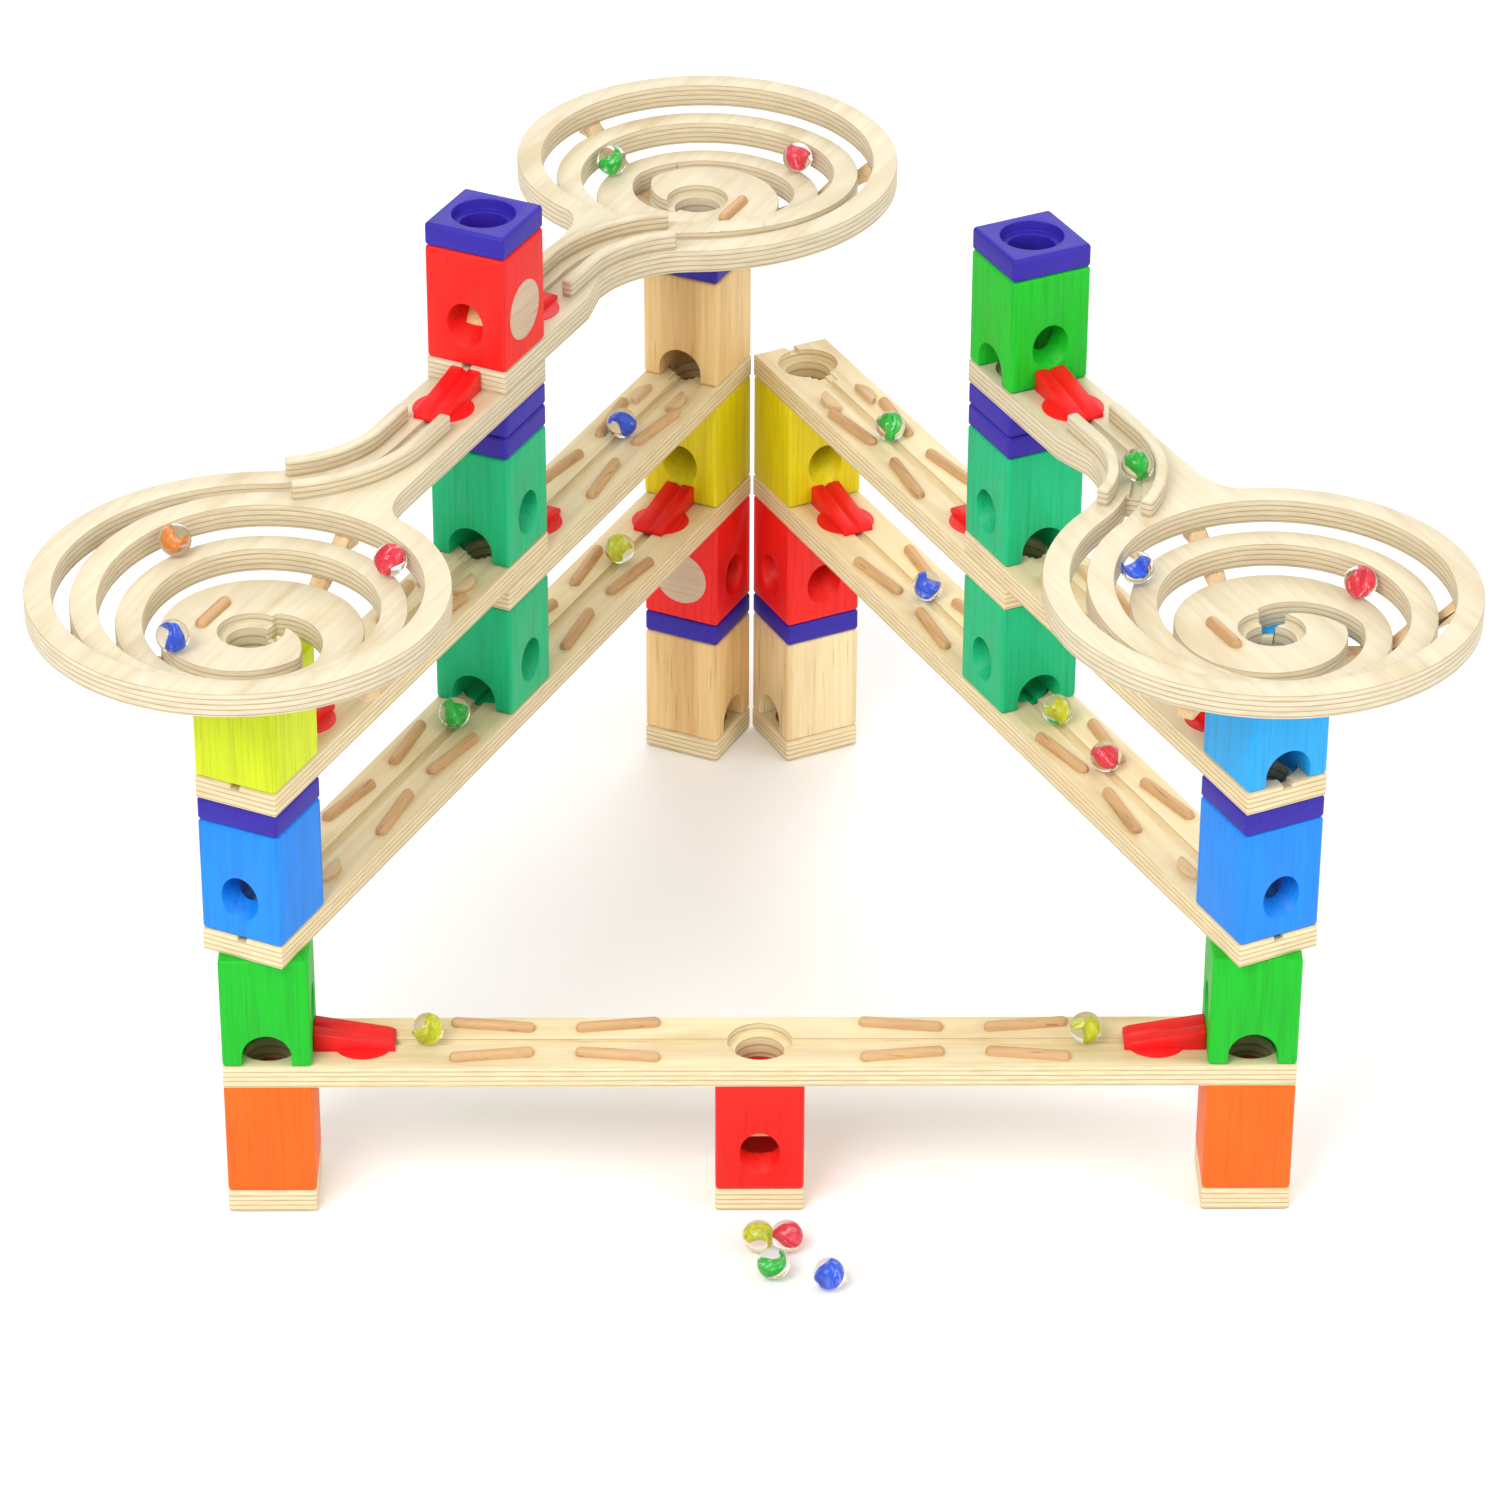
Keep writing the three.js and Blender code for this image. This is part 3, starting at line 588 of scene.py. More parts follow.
def side_hole_cut(facing):
    length = 40.0
    tunnel = lying(SIDE_HOLE_R, -length / 2, length / 2)
    turned(tunnel, SIDE_HOLE_SLOPE, "Y")
    start = 2.0
    x = start + length / 2 * math.cos(SIDE_HOLE_SLOPE)
    z = SIDE_HOLE_Z + (BLOCK_W / 2 - x) * math.tan(SIDE_HOLE_SLOPE)
    return turned(shifted(tunnel, x, 0, z), facing)


def block_mesh(openings, bridge=False):
    """openings: a list of (kind, facing), where kind is "arch" or "hole"."""
    arches = [facing for kind, facing in openings if kind == "arch"]
    holes = [facing for kind, facing in openings if kind == "hole"]
    blind = not arches and holes
    floor = SIDE_HOLE_Z + 4 if blind else THROUGH
    cuts = [bore_cut(floor, BLOCK_H + 1), socket_cut(BLOCK_H)]
    cuts += [arch_cut(facing) for facing in arches]
    cuts += [side_hole_cut(facing) for facing in holes]
    body = softened_box(BLOCK_W / 2, BLOCK_W / 2, BLOCK_H, ROUNDING)
    made = carve(body, [spigot(0)], cuts)
    if bridge:  # the foot is shut, and grooved for the marble that rolls over it
        g = GROOVE_W / 2
        foot = cylinder(SPIGOT_R, -SPIGOT_H, 0)
        made = joined([made, carve(foot, [], [cuboid(-BLOCK_W, BLOCK_W, -g, g, -GROOVE_DEPTH, 1)])])
    return smooth(made)


def switch_mesh(pin_facing):
    """A block with a round room for the rocker, whose pin lies along pin_facing."""
    pin = PIN_HALF + GAP
    chamber = turned(lying(CHAMBER_R, -CHAMBER_HALF, CHAMBER_HALF, CHAMBER_Z), pin_facing)
    pin_hole = turned(lying(PIN_R + GAP, -pin, pin, CHAMBER_Z, 24), pin_facing)
    cuts = [bore_cut(CHAMBER_Z, BLOCK_H + 1), socket_cut(BLOCK_H), chamber, pin_hole]
    cuts += [side_hole_cut(pin_facing + side * math.pi / 2) for side in (1, -1)]
    body = softened_box(BLOCK_W / 2, BLOCK_W / 2, BLOCK_H, ROUNDING)
    return smooth(carve(body, [spigot(0)], cuts))


def plug_mesh():
    """The disc that closes a switch block's room, just proud of the face at +X."""
    return smooth(carve(lying(PLUG_R, BLOCK_W / 2 - 1, BLOCK_W / 2 + 0.08), [], [], 0.05))


def rocker_mesh():
    """A pin and a drum with three blades: one up, and a drooping wing on each side."""
    half = ROCKER_PLATE / 2
    blades = []
    for angle in (math.pi / 2, -WING_DROP, math.pi + WING_DROP):
        blade = cuboid(-ROCKER_HALF, ROCKER_HALF, 0, ROCKER_REACH, -half, half)
        blades.append(turned(blade, angle - ROCKER_TILT, "X"))
    drum = lying(half + 2, -ROCKER_HALF, ROCKER_HALF, 0, 32)
    pin = lying(PIN_R, -PIN_HALF, PIN_HALF, 0, 32)
    return smooth(carve(drum, [pin] + blades))


def base_mesh():
    h = BLOCK_W / 2
    board = softened_box(h, h, BOARD_T, 1.2)
    return with_plies(smooth(carve(board, [], [socket_cut(BOARD_T)])))


def plate_mesh():
    """A purple plate, bored through."""
    h = BLOCK_W / 2
    board = softened_box(h, h, BOARD_T, ROUNDING)
    cuts = [bore_cut(THROUGH, BOARD_T + 1), socket_cut(BOARD_T)]
    return smooth(carve(board, [spigot(0)], cuts))


# ---- rails --------------------------------------------------------------------------------
def ramp_wedge():
    """A red ramp out of a tower, with a valley along its top and a round foot in the board."""
    start = BLOCK_W / 2 + GAP
    end = start + RAMP_LENGTH
    half = RAMP_W / 2
    fall = (RAMP_HIGH - RAMP_LOW) / (RAMP_LENGTH - 2)
    outline = [(start, -0.2), (end, -0.2), (end, RAMP_LOW - 2), (end - 3, RAMP_LOW), (start, RAMP_HIGH)]
    notch = lying(RAMP_VALLEY, -RAMP_LENGTH, RAMP_LENGTH, 0, 4)
    turned(notch, math.atan(fall), "Y")
    shifted(notch, (start + end) / 2, 0, (RAMP_HIGH + RAMP_LOW) / 2 + 2)
    shoulders = []
    for side in (1, -1):
        w = RAMP_SHOULDER
        plane = cuboid(-RAMP_LENGTH, RAMP_LENGTH, -w, w, -w, w)
        turned(plane, math.pi / 4, "X")
        turned(plane, math.atan(fall), "Y")
        middle = (RAMP_HIGH + RAMP_LOW) / 2 + 0.3
        shoulders.append(shifted(plane, (start + end) / 2, side * (half + 0.9), middle + 0.9))
    foot = cylinder(RAMP_FOOT_R, -0.2, 0.5, RAMP_FOOT_X)
    return smooth(carve(side_prism(outline, -half, half), [foot], [notch] + shoulders, 0.3))


def lip_pair():
    """The two half moons that guide a marble into a tower."""
    start = BLOCK_W / 2 + 16
    lips = []
    for side in (1, -1):
        arc = [math.pi * i / 20 for i in range(21)]
        outline = []
        for a in arc:
            x = start + LIP_LENGTH / 2 * (1 + math.cos(a))
            outline.append((x, side * (LIP_OFFSET + LIP_W * math.sin(a))))
        lips.append(carve(prism(outline, -0.2, LIP_H), [], [], 0.8))
    return smooth(joined(lips))


def half_dowel(length):
    """A dowel along X, split lengthwise, with rounded ends, lying on z = 0."""
    tip = []
    for i in range(7):
        a = math.pi / 2 * i / 6
        tip.append((length / 2 - 0.45 * GUIDE_W * (1 - math.cos(a)), max(math.sin(a), 0.08)))
    rings = []
    for x, k in [(-x, k) for x, k in tip] + tip[::-1]:
        ring = []
        for j in range(17):
            a = math.pi * j / 16
            ring.append((x, k * GUIDE_W / 2 * math.cos(a), (0.35 + 0.65 * k) * GUIDE_H * math.sin(a) ** 0.8))
        ring.append((x, -k * GUIDE_W / 2, -0.2))
        ring.append((x, k * GUIDE_W / 2, -0.2))
        rings.append(ring)
    return loft(rings)


def guide_set(holes):
    """Every half dowel of a rail."""
    length = (holes - 1) * SPACING
    shift = 0.0 if holes == 3 else SPACING / 2 + 12 - sum(GUIDE_STATIONS) / 2
    made = []
    for half in range(holes - 1):
        for pair, x in enumerate(GUIDE_STATIONS):
            for side in (1, -1):
                splay = side * (GUIDE_SPLAY if pair else -GUIDE_SPLAY)
                bar = shifted(turned(half_dowel(GUIDE_LENGTH), splay), x + shift, side * GUIDE_OFFSET)
                if half:
                    shifted(turned(bar, math.pi), length)
                made.append(bar)
    mesh = joined(made)
    mesh.shade_smooth()
    return smooth(mesh, math.radians(50))


def rail_board(holes, ends):
    """A plywood rail: a groove along it, its holes, and a cross notch at each end with lips."""
    length = (holes - 1) * SPACING
    h = BLOCK_W / 2
    g = GROOVE_W / 2
    deep = BOARD_T - GROOVE_DEPTH
    board = shifted(softened_box(length / 2 + h, h, BOARD_T, 0.9), length / 2)
    cuts = [cuboid(-h - 1, length + h + 1, -g, g, deep, BOARD_T + 2)]
    joins = []
    for i in range(holes):
        x = i * SPACING
        joins.append(spigot(0, x))
        cuts += [bore_cut(THROUGH, BOARD_T + 1, x), socket_cut(BOARD_T, x)]
    for i, end in enumerate(ends):
        if end == "ramp":
            continue
        x0, x1 = (SOCKET_R - 1, SOCKET_R + 8)
        if i:
            x0, x1 = length - x1, length - x0
        cuts.append(cuboid(x0, x1, -NOTCH_HALF, NOTCH_HALF, BOARD_T - NOTCH_DEPTH, BOARD_T + 2))
    return with_plies(smooth(carve(board, joins, cuts)))


# ---- spirals ------------------------------------------------------------------------------
def angle_at(turns):
    return SPIRAL_START + turns * 2 * math.pi


def outer_edge(turns):
    return SPIRAL_R - SPIRAL_PITCH * turns


def slot_centre(turns):
    return outer_edge(turns) - SPIRAL_BAND - SPIRAL_SLOT / 2


def polar(radius, angle):
    return (radius * math.cos(angle), radius * math.sin(angle))


def smoothstep(x, low, high):
    t = min(max((x - low) / (high - low), 0.0), 1.0)
    return t * t * (3 - 2 * t)


def band_z(turns):
    falls = smoothstep(turns, 1, 1 + SPIRAL_SLOPE) + smoothstep(turns, 2, 2 + SPIRAL_SLOPE)
    return SPIRAL_FALL - BOARD_T * falls


def band_ply(co):
    """How far up the spiral board a point lies, by the turn of the band that it is on."""
    radius = math.hypot(co.x, co.y)
    first = (math.atan2(co.y, co.x) - SPIRAL_START) / (2 * math.pi) % 1.0
    if co.x > 80 and radius > outer_edge(first) - SPIRAL_BAND:
        return (co.z - SPIRAL_FALL) / BOARD_T
    turns = min((first + k for k in range(4)), key=lambda t: abs(outer_edge(t) - SPIRAL_BAND / 2 - radius))
    if turns > SPIRAL_TURNS or radius < BORE_R + SOCKET_R:
        return co.z / BOARD_T
    return (co.z - band_z(turns)) / BOARD_T


def spiral_band():
    """The turns that descend, below the upper board."""
    steps = round((SPIRAL_TURNS - 1) * 96)
    rings = []
    for i in range(steps + 1):
        turns = 1 + i / steps * (SPIRAL_TURNS - 1)
        ox, oy = polar(outer_edge(turns), angle_at(turns))
        ix, iy = polar(outer_edge(turns) - SPIRAL_BAND, angle_at(turns))
        z = band_z(turns)
        top = z + BOARD_T
        rings.append([(ox, oy, z), (ox, oy, top), (ix, iy, top), (ix, iy, z)])
    return loft(rings)


def hub_disc():
    steps = 96
    turns = [SPIRAL_TURNS + i / steps for i in range(steps + 1)]
    return prism([polar(outer_edge(t), angle_at(t)) for t in turns], 0, BOARD_T)


def slot_end():
    """The slot's last part, which widens into the hole of the hub."""
    outer = []
    inner = []
    start = SPIRAL_TURNS - 0.08
    end = SPIRAL_TURNS + 0.28
    steps = 40
    for i in range(steps + 1):
        turns = start + i / steps * (end - start)
        k = max(0.0, (turns - SPIRAL_TURNS) / (end - SPIRAL_TURNS))
        middle = slot_centre(turns) * (1 - k) + BORE_R * k
        s = math.sqrt(k)
        half = SPIRAL_SLOT / 2 * (1 - s) + 0.9 * MARBLE_R * s
        outer.append(polar(middle + half, angle_at(turns)))
        inner.append(polar(middle - half, angle_at(turns)))
    return prism(outer + inner[::-1], -1, BOARD_T + 1)


def arm_path(from_x, past=0.0):
    """The marble's way along the arm, as (x, y, heading): straight, then a bend into the slot."""
    sx, sy = polar(slot_centre(0), SPIRAL_START)
    turn = math.acos(1 - sy / BEND_R)
    bend_x = sx + BEND_R * math.sin(turn)
    path = [(from_x, 0.0, math.pi)]
    steps = 24
    for i in range(steps + 1):
        b = i / steps * turn
        path.append((bend_x - BEND_R * math.sin(b), BEND_R * (1 - math.cos(b)), math.pi - b))
    steps = round(past * 192)
    for i in range(1, steps + 1):
        x, y = polar(slot_centre(i / 192), angle_at(i / 192))
        path.append((x, y, angle_at(i / 192) + math.pi / 2))
    return path


def beside(path, offset):
    return [(x + offset * math.sin(a), y - offset * math.cos(a)) for x, y, a in path]


def ribbon(path, low, high, z0, z1):
    return prism(beside(path, low) + beside(path, high)[::-1], z0, z1)


def bezier(a, b, c, steps=20):
    points = []
    for i in range(steps + 1):
        t = i / steps
        weights = ((1 - t) ** 2, 2 * t * (1 - t), t * t)
        points.append(tuple(sum(w * p[k] for w, p in zip(weights, (a, b, c))) for k in (0, 1)))
    return points


def upper_board():
    """The arm and the first turn, which lie in one plane, as one board."""
    h = BLOCK_W / 2
    end = SPACING + h
    steps = 84
    outer = beside(arm_path(BEND_START), SPIRAL_SLOT / 2 + SPIRAL_BAND)
    rim = [polar(outer_edge(t), angle_at(t)) for t in (RIM_TURNS * i / steps for i in range(1, steps + 1))]
    fillet = bezier(rim[-1], (NECK_FILLET[0], -h), (NECK_FILLET[1], -h))
    outline = [(end, -h), (end, h), (NECK_START, h)] + outer[1:] + rim + fillet[1:]
    inside = [polar(outer_edge(i / 96) - SPIRAL_BAND, angle_at(i / 96)) for i in range(97)]
    inside.append(polar(outer_edge(1), angle_at(1)))  # where the descending band joins on
    top = SPIRAL_FALL + BOARD_T
    board = prism(outline, SPIRAL_FALL, top)
    return carve(board, [], [prism(inside, SPIRAL_FALL - 1, top + 1)], 0)


def bracket_mesh(angle):
    """A rib that carries the bands, in a radial plane, with rounded ends."""
    radii = []
    turns = ((angle - SPIRAL_START) / (2 * math.pi) + 1) % 1
    while turns < SPIRAL_TURNS:
        z = band_z(turns)
        radii += [(outer_edge(turns) - 3, z), (outer_edge(turns) - SPIRAL_BAND + 1, z)]
        turns += 1
    hub = outer_edge(turns)
    radii += [(hub - 1, 0.0), (hub - 5, 0.0)]
    under = [(r, z - BRACKET_H) for i, (r, z) in enumerate(radii) if i == 0 or i % 2]
    rib = side_prism(radii + under[::-1], -BRACKET_T / 2, BRACKET_T / 2)
    return smooth(turned(carve(rib, [], [], 1.4), angle))


def fence_mesh(side):
    """A curved plywood strip beside the marble's way along the arm."""
    near = side * FENCE_OFFSET
    far = side * (FENCE_OFFSET + FENCE_T)
    top = SPIRAL_FALL + BOARD_T
    strip = ribbon(arm_path(FENCE_START)[:-4], max(near, far), min(near, far), top - 0.2, top + FENCE_H)
    return with_plies(smooth(carve(strip, [], [], 1.1)), lambda co: (co.z - top) / FENCE_H * 0.7)


def rest_mesh():
    """The short peg that marbles pass on the hub."""
    return smooth(shifted(half_dowel(PEG_LENGTH), *PEG_AT, BOARD_T), math.radians(50))


def spiral_board():
    """The arm, the bands and the hub of a spiral track."""
    top = SPIRAL_FALL + BOARD_T
    g = GROOVE_W / 2
    s = SPIRAL_SLOT / 2
    end = SPACING + BLOCK_W / 2 + 1
    groove = ribbon(arm_path(end), g, -g, top - GROOVE_DEPTH, top + 2)
    slot_start = ribbon(arm_path(BEND_START, 0.06)[-22:], s, -s, SPIRAL_FALL - 1, top + 1)
    hub = carve(upper_board(), [spiral_band(), hub_disc()], [groove, slot_start, slot_end()], 0)
    cuts = [bore_cut(THROUGH, BOARD_T + 1), socket_cut(BOARD_T)]
    cuts += [bore_cut(SPIRAL_FALL + THROUGH, top + 1, SPACING), socket_cut(top, SPACING)]
    made = carve(hub, [spigot(0), spigot(SPIRAL_FALL, SPACING)], cuts, 0.5)
    return with_plies(smooth(made), band_ply)


# ---- marbles ------------------------------------------------------------------------------
SWIRL_REACH = 0.88  # of the marble's radius
SWIRL_TWIST = math.radians(150)
RAIL_LIFT = math.sqrt(MARBLE_R**2 - (GROOVE_W / 2) ** 2) + GAP
SLOT_CLEARANCE = 1.2


def ball_mesh():
    """A glass marble, very slightly out of round, as pressed ones are."""
    rows = 24
    columns = 48
    vertices = []
    for i in range(rows + 1):
        polar_angle = math.pi * i / rows
        for j in range(columns):
            a = 2 * math.pi * j / columns
            r = MARBLE_R * (1 - 0.003 * math.cos(3 * a) * math.sin(polar_angle))
            x = r * math.sin(polar_angle) * math.cos(a)
            y = r * math.sin(polar_angle) * math.sin(a)
            vertices.append((x, y, r * math.cos(polar_angle)))
    faces = []
    for i in range(rows):
        for j in range(columns):
            n = (j + 1) % columns
            a = i * columns
            b = a + columns
            faces.append((a + j, b + j, b + n, a + n))
    mesh = mesh_of(vertices, faces)
    mesh.validate()
    weld = shape_object(mesh)
    weld.modifiers.new("weld", "WELD").merge_threshold = 0.001
    graph = bpy.context.evaluated_depsgraph_get()
    made = bpy.data.meshes.new_from_object(weld.evaluated_get(graph))
    bpy.data.objects.remove(weld)
    made.shade_smooth()
    return made


def swirl_mesh():
    """An S-shaped leaf of coloured glass, twisted along the marble's axis."""
    along = 28
    across = 12
    reach = SWIRL_REACH * MARBLE_R
    twist = SWIRL_TWIST
    rings = []
    for i in range(along + 1):
        u = i / along * 2 - 1  # from one end of the leaf to the other
        wide = reach * math.sqrt(max(1 - u * u, 0.0)) * 0.80 + 0.15
        thick = 0.34 * wide * (1 - 0.45 * abs(u)) + 0.1
        spin = twist * u / 2
        ring = []
        for j in range(2 * across):
            a = 2 * math.pi * j / (2 * across)
            x = wide * math.cos(a)
            y = thick * math.sin(a) + 0.32 * wide * math.sin(math.pi * x / max(wide, 0.01))
            across_x = x * math.cos(spin) - y * math.sin(spin)
            across_y = x * math.sin(spin) + y * math.cos(spin)
            ring.append((across_x, across_y, u * reach))
        rings.append(ring)
    mesh = loft(rings)
    mesh.shade_smooth()
    return mesh


marble_count = 0


def marble(name, colour, place, body=ROOT, node=None):
    """A glass marble with its coloured swirl; each lies turned another way."""
    global marble_count
    marble_count += 1
    spin = Matrix.Rotation(marble_count * 2.4, 4, "Z") @ Matrix.Rotation(0.9 + marble_count * 0.7, 4, "X")
    pose = place @ spin
    replaced = (node,) if node else ()
    piece(name, shape("ball", ball_mesh), pose, GLASS, body, replaced)
    piece(name + "_swirl", shape("swirl", swirl_mesh), pose, CORES[colour], body)


def slot_seat(turns):
    """The middle of a marble that leans on the outer wall of the spiral's slot."""
    radius = slot_centre(turns) + SPIRAL_SLOT / 2 - MARBLE_R - SLOT_CLEARANCE
    x, y = polar(radius, angle_at(turns))
    return (x, y, band_z(turns + 1) + BOARD_T + MARBLE_R + GAP)


# ---- assembly -----------------------------------------------------------------------------
NEAR = math.pi
FAR = 0.0
QUARTER = math.pi / 2


def add_block(parent, name, colour, x, z, openings, bridge=False, finish=None):
    slot = "natural_maple" if colour == "maple" else colour + "_wood"
    key = ("block", tuple(openings), bridge)
    mesh = shape(key, lambda: block_mesh(openings, bridge))
    piece(name + "_wood", mesh, at(parent, x, z), finish or WOOD[slot], replaces=[name])


def add_switch(parent, name, x, z, pin_facing, plug_facing):
    mesh = shape(("switch", pin_facing), lambda: switch_mesh(pin_facing))
    node = name + "_switch_block"
    piece(node + "_wood", mesh, at(parent, x, z), WOOD["red_wood"], replaces=[node])
    plug_place = at(parent, x, z + CHAMBER_Z, turn=plug_facing)
    piece(name + "_plug", shape("plug", plug_mesh), plug_place, PLUG_WOOD)
    node = name + "_rocker"
    place = at(parent, x, z + CHAMBER_Z, turn=pin_facing)
    rocker = shape("rocker", rocker_mesh)
    piece(node + "_wood", rocker, place, WOOD["natural_maple"], node, [node])


def add_plate(parent, name, x, z, layers=1):
    for i in range(layers):
        replaced = () if i else (name,)
        label = name + "_board" + ("" if layers == 1 else "_" + "ab"[i])
        place = at(parent, x, z + i * BOARD_T)
        piece(label, shape("plate", plate_mesh), place, PURPLE_BOARD, replaces=replaced)


def add_base(parent, name, x):
    board = shape("base", base_mesh)
    place = at(parent, x, 0)
    piece(name + "_ply", board, place, WOOD["birch_plywood"], replaces=[name])


def add_rail(parent, name, x, z, holes, ends):
    board = shape(("rail", holes, ends), lambda: rail_board(holes, ends))
    place = at(parent, x, z)
    piece(name + "_ply", board, place, WOOD["birch_plywood"], replaces=[name])
    top = at(parent, x, z + BOARD_T)
    guides = shape(("guides", holes), lambda: guide_set(holes))
    piece(name + "_guides", guides, top, DOWEL)
    for i, end in enumerate(ends):
        beside_tower = at(top, i * (holes - 1) * SPACING, 0, turn=math.pi * i)
        label = name + "_" + end + "_" + "ab"[i]
        if end == "ramp":
            piece(label, shape("ramp", ramp_wedge), beside_tower, RED_RAMP)
        else:
            piece(label, shape("lips", lip_pair), beside_tower, LIP_WOOD)


def add_spiral(parent, name, x, z, turn, marbles):
    home = at(parent, x, z, turn=turn)
    board = shape("spiral", spiral_board)
    piece(name + "_ply", board, home, SPIRAL_PLY, replaces=[name])
    for label, side in (("outer", 1), ("inner", -1)):
        fence = shape(("fence", side), lambda: fence_mesh(side))
        piece(name + "_" + label + "_fence", fence, home, SPIRAL_PLY)
    for label, degrees in BRACKET_ANGLES:
        rib = shape(("bracket", degrees), lambda: bracket_mesh(math.radians(degrees)))
        piece(name + "_bracket_" + label, rib, home, LIP_WOOD)
    piece(name + "_rest", shape("rest", rest_mesh), home, DOWEL)
    ramp_place = at(home, SPACING, SPIRAL_FALL + BOARD_T, turn=math.pi)
    piece(name + "_ramp", shape("ramp", ramp_wedge), ramp_place, RED_RAMP)
    for colour, turns, moving in marbles:
        place = home @ Matrix.Translation(slot_seat(turns))
        label = name + "_" + colour + "_marble"
        if moving:
            marble(label + "_glass", colour, place, label, label)
        else:
            marble(label + "_glass", colour, place)


def add_rail_marble(parent, name, colour, x, rail_top, moving=True):
    label = name + "_" + colour + "_marble"
    place = at(parent, x, rail_top + RAIL_LIFT)
    if moving:
        marble(label + "_glass", colour, place, label, label)
    else:
        marble(label + "_glass", colour, place)


def build_front():
    for name, x in (("left", -SPACING), ("centre", 0), ("right", SPACING)):
        add_base(WORLD, "front_" + name + "_base_plate", x)
    add_switch(WORLD, "front_centre", 0, level(1, 0), 0.0, math.pi)
    add_rail(WORLD, "front_rail", -SPACING, level(1, 1), 3, ("ramp", "ramp"))
    for side, hand in ((-1, "left"), (1, "right")):
        x = side * SPACING
        inward = FAR if side < 0 else NEAR
        add_block(WORLD, f"front_{hand}_orange_block", "orange", x, level(1, 0), [])
        openings = [("arch", -QUARTER), ("hole", inward)]
        add_block(WORLD, f"front_{hand}_green_block", "green", x, level(2, 1), openings)


def build_side(side, hand, home):
    inner = side * QUARTER
    middle = SPACING
    back = 2 * SPACING
    add_rail(home, hand + "_low_rail", 0, level(2, 2), 3, ("lips", "ramp"))
    add_block(home, hand + "_front_blue_block", "blue", 0, level(3, 2), [("hole", NEAR), ("arch", FAR)])
    add_plate(home, hand + "_front_plate", 0, level(3, 3))
    add_rail(home, hand + "_upper_rail", 0, level(4, 3), 2, ("ramp", "lips"))
    openings = [("arch", NEAR), ("arch", FAR), ("hole", inner)]
    add_block(home, hand + "_middle_lower_teal_block", "teal", middle, level(3, 2), openings, True)
    add_rail(home, hand + "_middle_rail", middle, level(3, 3), 2, ("ramp", "lips"))
    openings = [("arch", NEAR), ("hole", FAR), ("hole", inner)]
    add_block(home, hand + "_middle_upper_teal_block", "teal", middle, level(5, 3), openings)
    add_plate(home, hand + "_middle_plate_pair", middle, level(5, 4), 2)
    add_base(home, hand + "_back_base_plate", back)
    maple = PALE_MAPLE if side > 0 else None
    add_block(home, hand + "_back_maple_block", "maple", back, level(1, 0), [("arch", inner)], finish=maple)
    add_plate(home, hand + "_back_low_plate", back, level(1, 1))
    add_block(home, hand + "_back_yellow_block", "yellow", back, level(3, 2), [("hole", NEAR)])


def build_left_tops():
    back = 2 * SPACING
    lemon = [("hole", FAR)]
    add_block(LEFT, "left_front_yellow_block", "yellow", 0, level(5, 3), lemon, finish=LEMON_WOOD)
    marbles = [("orange", 1.1, True), ("red", 0.82, True), ("blue", 2.33, False)]
    add_spiral(LEFT, "left_spiral", 0, level(5, 4), 0.0, marbles)
    add_switch(LEFT, "left_middle_top", SPACING, level(9, 4), QUARTER, -QUARTER)
    add_plate(LEFT, "left_middle_cap_plate", SPACING, level(9, 5))
    add_switch(LEFT, "left_back", back, level(2, 1), 0.0, NEAR)
    add_block(LEFT, "left_back_upper_maple_block", "maple", back, level(4, 3), [("arch", NEAR)])
    add_plate(LEFT, "left_back_plate_pair", back, level(4, 4), 2)
    marbles = [("green", 1.66, True), ("red", 1.33, True)]
    add_spiral(LEFT, "back_spiral", back, level(6, 4), math.pi, marbles)


def build_right_tops():
    back = 2 * SPACING
    openings = [("arch", NEAR), ("hole", FAR)]
    add_block(RIGHT, "right_front_light_blue_block", "light_blue", 0, level(5, 3), openings)
    marbles = [("blue", 1.05, True), ("red", 1.7, True)]
    add_spiral(RIGHT, "right_spiral", 0, level(5, 4), 0.0, marbles)
    openings = [("hole", NEAR), ("arch", QUARTER)]
    add_block(RIGHT, "right_middle_top_green_block", "green", SPACING, level(8, 4), openings)
    add_plate(RIGHT, "right_middle_cap_plate", SPACING, level(8, 5))
    openings = [("hole", NEAR), ("hole", QUARTER)]
    add_block(RIGHT, "right_back_red_block", "red", back, level(2, 1), openings)


def build_marbles():
    add_rail_marble(WORLD, "front_rail", "yellow", 78 - SPACING, level(2, 1))
    add_rail_marble(LEFT, "left_low_rail", "green", 199, level(3, 2))
    add_rail_marble(RIGHT, "right_low_rail", "red", 150, level(3, 2))
    add_rail_marble(LEFT, "left_middle_rail", "blue", SPACING + 150, level(4, 3))
    add_rail_marble(RIGHT, "right_middle_rail", "green", SPACING + 146, level(4, 3))
    add_rail_marble(WORLD, "front_rail_far", "yellow", 403 - SPACING, level(2, 1), False)
    add_rail_marble(LEFT, "left_low_rail_far", "yellow", 388, level(3, 2), False)
    add_rail_marble(RIGHT, "right_low_rail_far", "blue", 343, level(3, 2), False)
    add_rail_marble(RIGHT, "right_low_rail_mid", "yellow", 201, level(3, 2), False)
    path = arm_path(FENCE_START)
    x, y, _ = min(path, key=lambda p: abs(p[0] - 118))
    place = at(RIGHT, x, level(5, 4) + SPIRAL_FALL + BOARD_T + RAIL_LIFT, y)
    marble("right_spiral_green_marble_glass", "green", place)
    spots = (("yellow", -0.9, -54.6), ("red", 13.2, -54.6), ("green", 6.2, -77.4), ("blue", 33.4, -86.2))
    for colour, x, y in spots:
        marble("floor_" + colour + "_marble_glass", colour, at(WORLD, x, MARBLE_R, y))


build_front()
build_side(-1, "left", LEFT)
build_side(1, "right", RIGHT)
build_left_tops()
build_right_tops()
build_marbles()


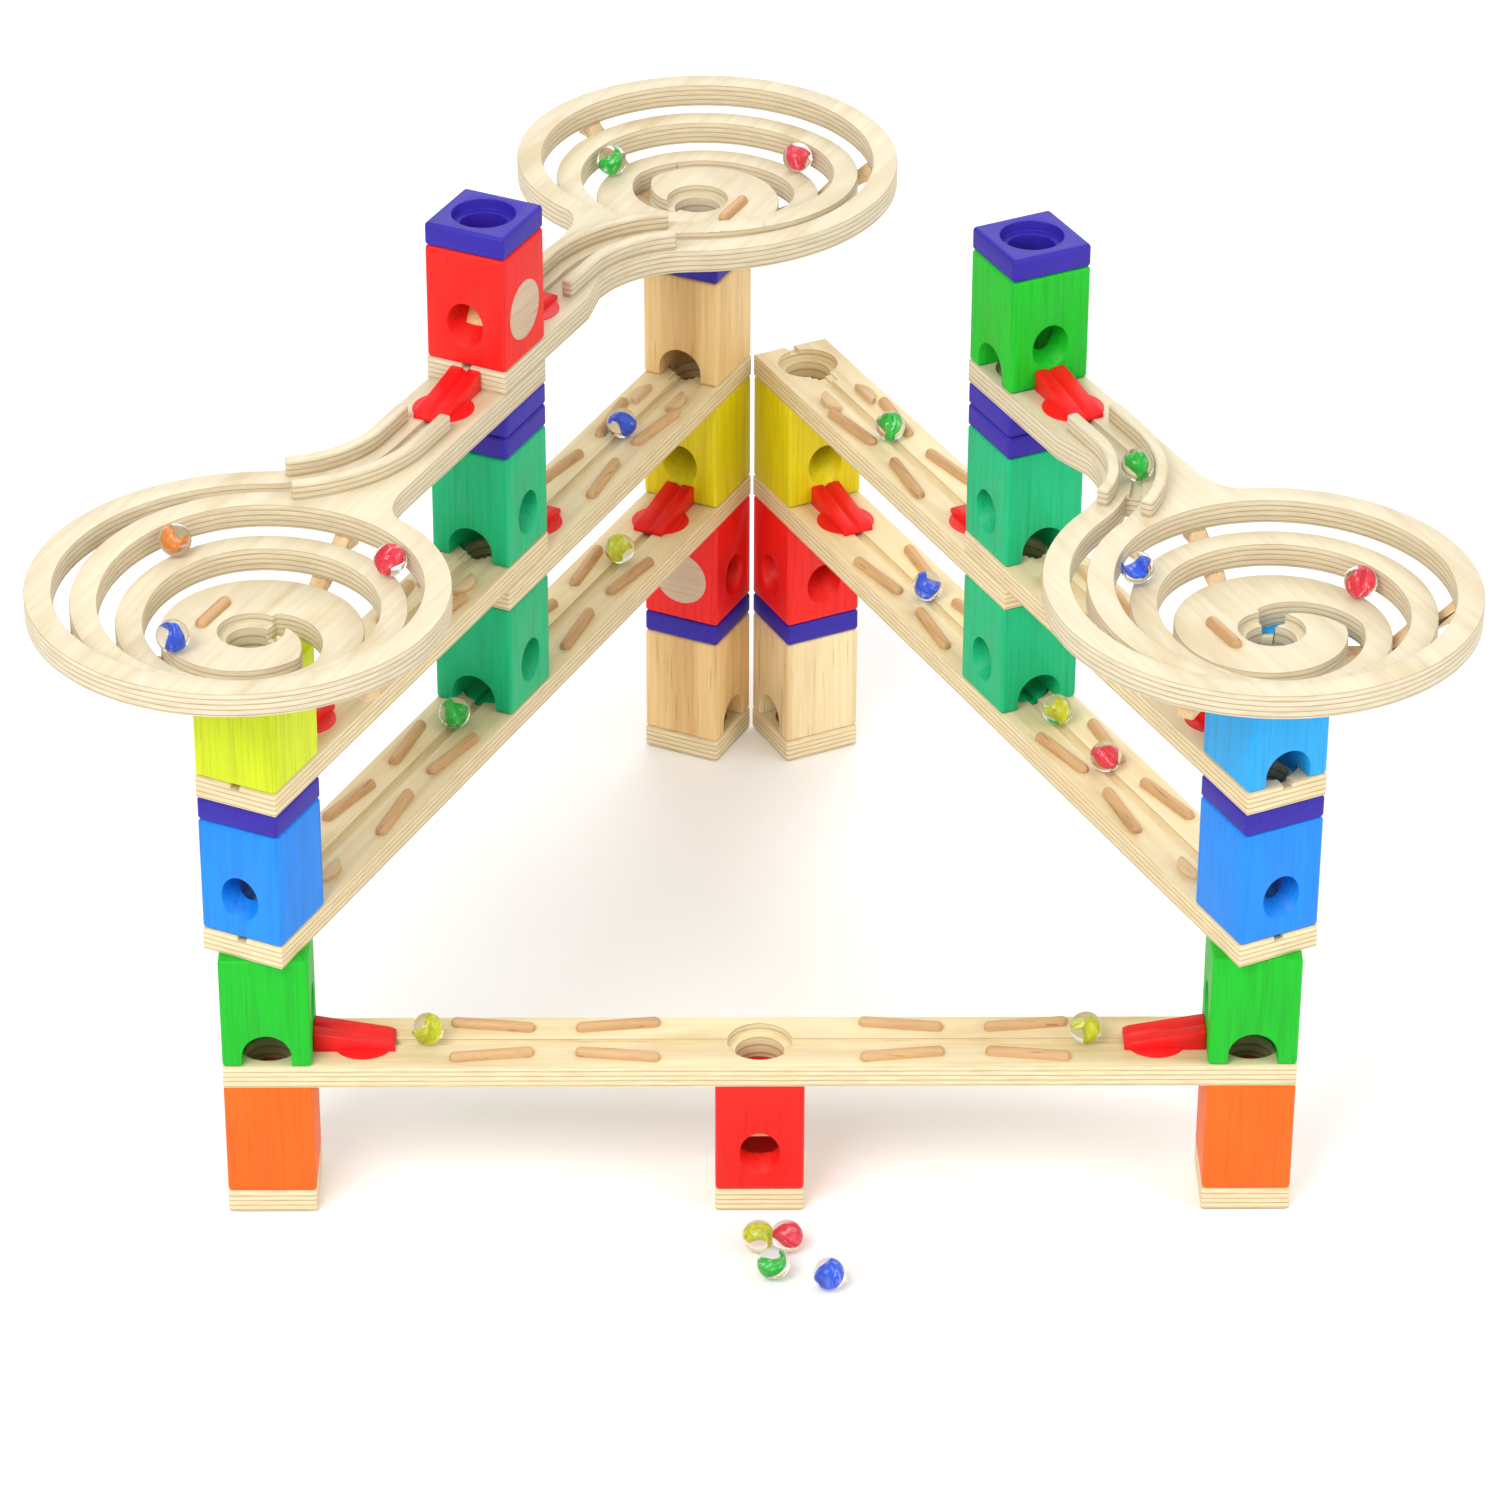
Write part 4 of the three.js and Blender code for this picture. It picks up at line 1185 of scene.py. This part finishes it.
# ---- floor, light and camera --------------------------------------------------------------
def studio():
    """A pale floor under soft white light."""
    n = Nodes("pale_floor")
    cloud = n.noise(n.coordinates([2.0] * 3), 1.0, 2.0)
    n.finish(n.ramp(cloud, [(0.3, (0.93, 0.93, 0.93)), (0.7, (0.96, 0.96, 0.96))]), 0.6, cloud, 0.02)
    mesh = mesh_of([(-6, -6, -0.0005), (6, -6, -0.0005), (6, 6, -0.0005), (-6, 6, -0.0005)], [(0, 1, 2, 3)])
    keep_grain(mesh, "floor")
    free_piece("floor", mesh, n.material)

    world = bpy.data.worlds.new("studio")
    bpy.context.scene.world = world
    world.use_nodes = True
    background = world.node_tree.nodes["Background"]
    background.inputs["Color"].default_value = (1.0, 1.0, 1.0, 1.0)
    background.inputs["Strength"].default_value = 0.75

    for name, place, width, power in (
        ("key", (-1.2, -2.0, 2.4), 1.6, 62.0),
        ("fill", (2.2, -1.2, 1.6), 2.0, 24.0),
        ("back", (0.3, 2.2, 2.2), 2.0, 26.0),
    ):
        lamp = bpy.data.lights.new(name, "AREA")
        lamp.size = width
        lamp.energy = power
        made = bpy.data.objects.new(name, lamp)
        bpy.context.scene.collection.objects.link(made)
        made.location = place
        aim = Vector((0, 0, 0.2)) - Vector(place)
        made.rotation_euler = aim.to_track_quat("-Z", "Y").to_euler()


def photograph_camera():
    """Stands in front of the front rail, looking down on the run from about three metres."""
    pitch = 0.548
    yaw = -0.011
    roll = -0.004
    standing = Vector((centre.x - 33.0, centre.y - 2509.7, 1787.3)) * MM
    focal_in_widths = 4.086
    ahead = Vector((-math.sin(yaw) * math.cos(pitch), math.cos(yaw) * math.cos(pitch), -math.sin(pitch)))
    right = Vector((math.cos(yaw), math.sin(yaw), 0))
    up = Vector((-math.sin(yaw) * math.sin(pitch), math.cos(yaw) * math.sin(pitch), math.cos(pitch)))
    side = math.cos(roll) * right - math.sin(roll) * up
    top = math.sin(roll) * right + math.cos(roll) * up
    data = bpy.data.cameras.new("camera")
    data.sensor_width = 36.0
    data.lens = 36.0 * focal_in_widths
    camera = bpy.data.objects.new("camera", data)
    bpy.context.scene.collection.objects.link(camera)
    basis = Matrix((side, top, -ahead)).transposed().to_4x4()
    camera.matrix_world = Matrix.Translation(standing) @ basis
    bpy.context.scene.camera = camera
    bpy.context.scene.view_settings.view_transform = "Standard"


studio()
photograph_camera()

bpy.context.view_layer.update()
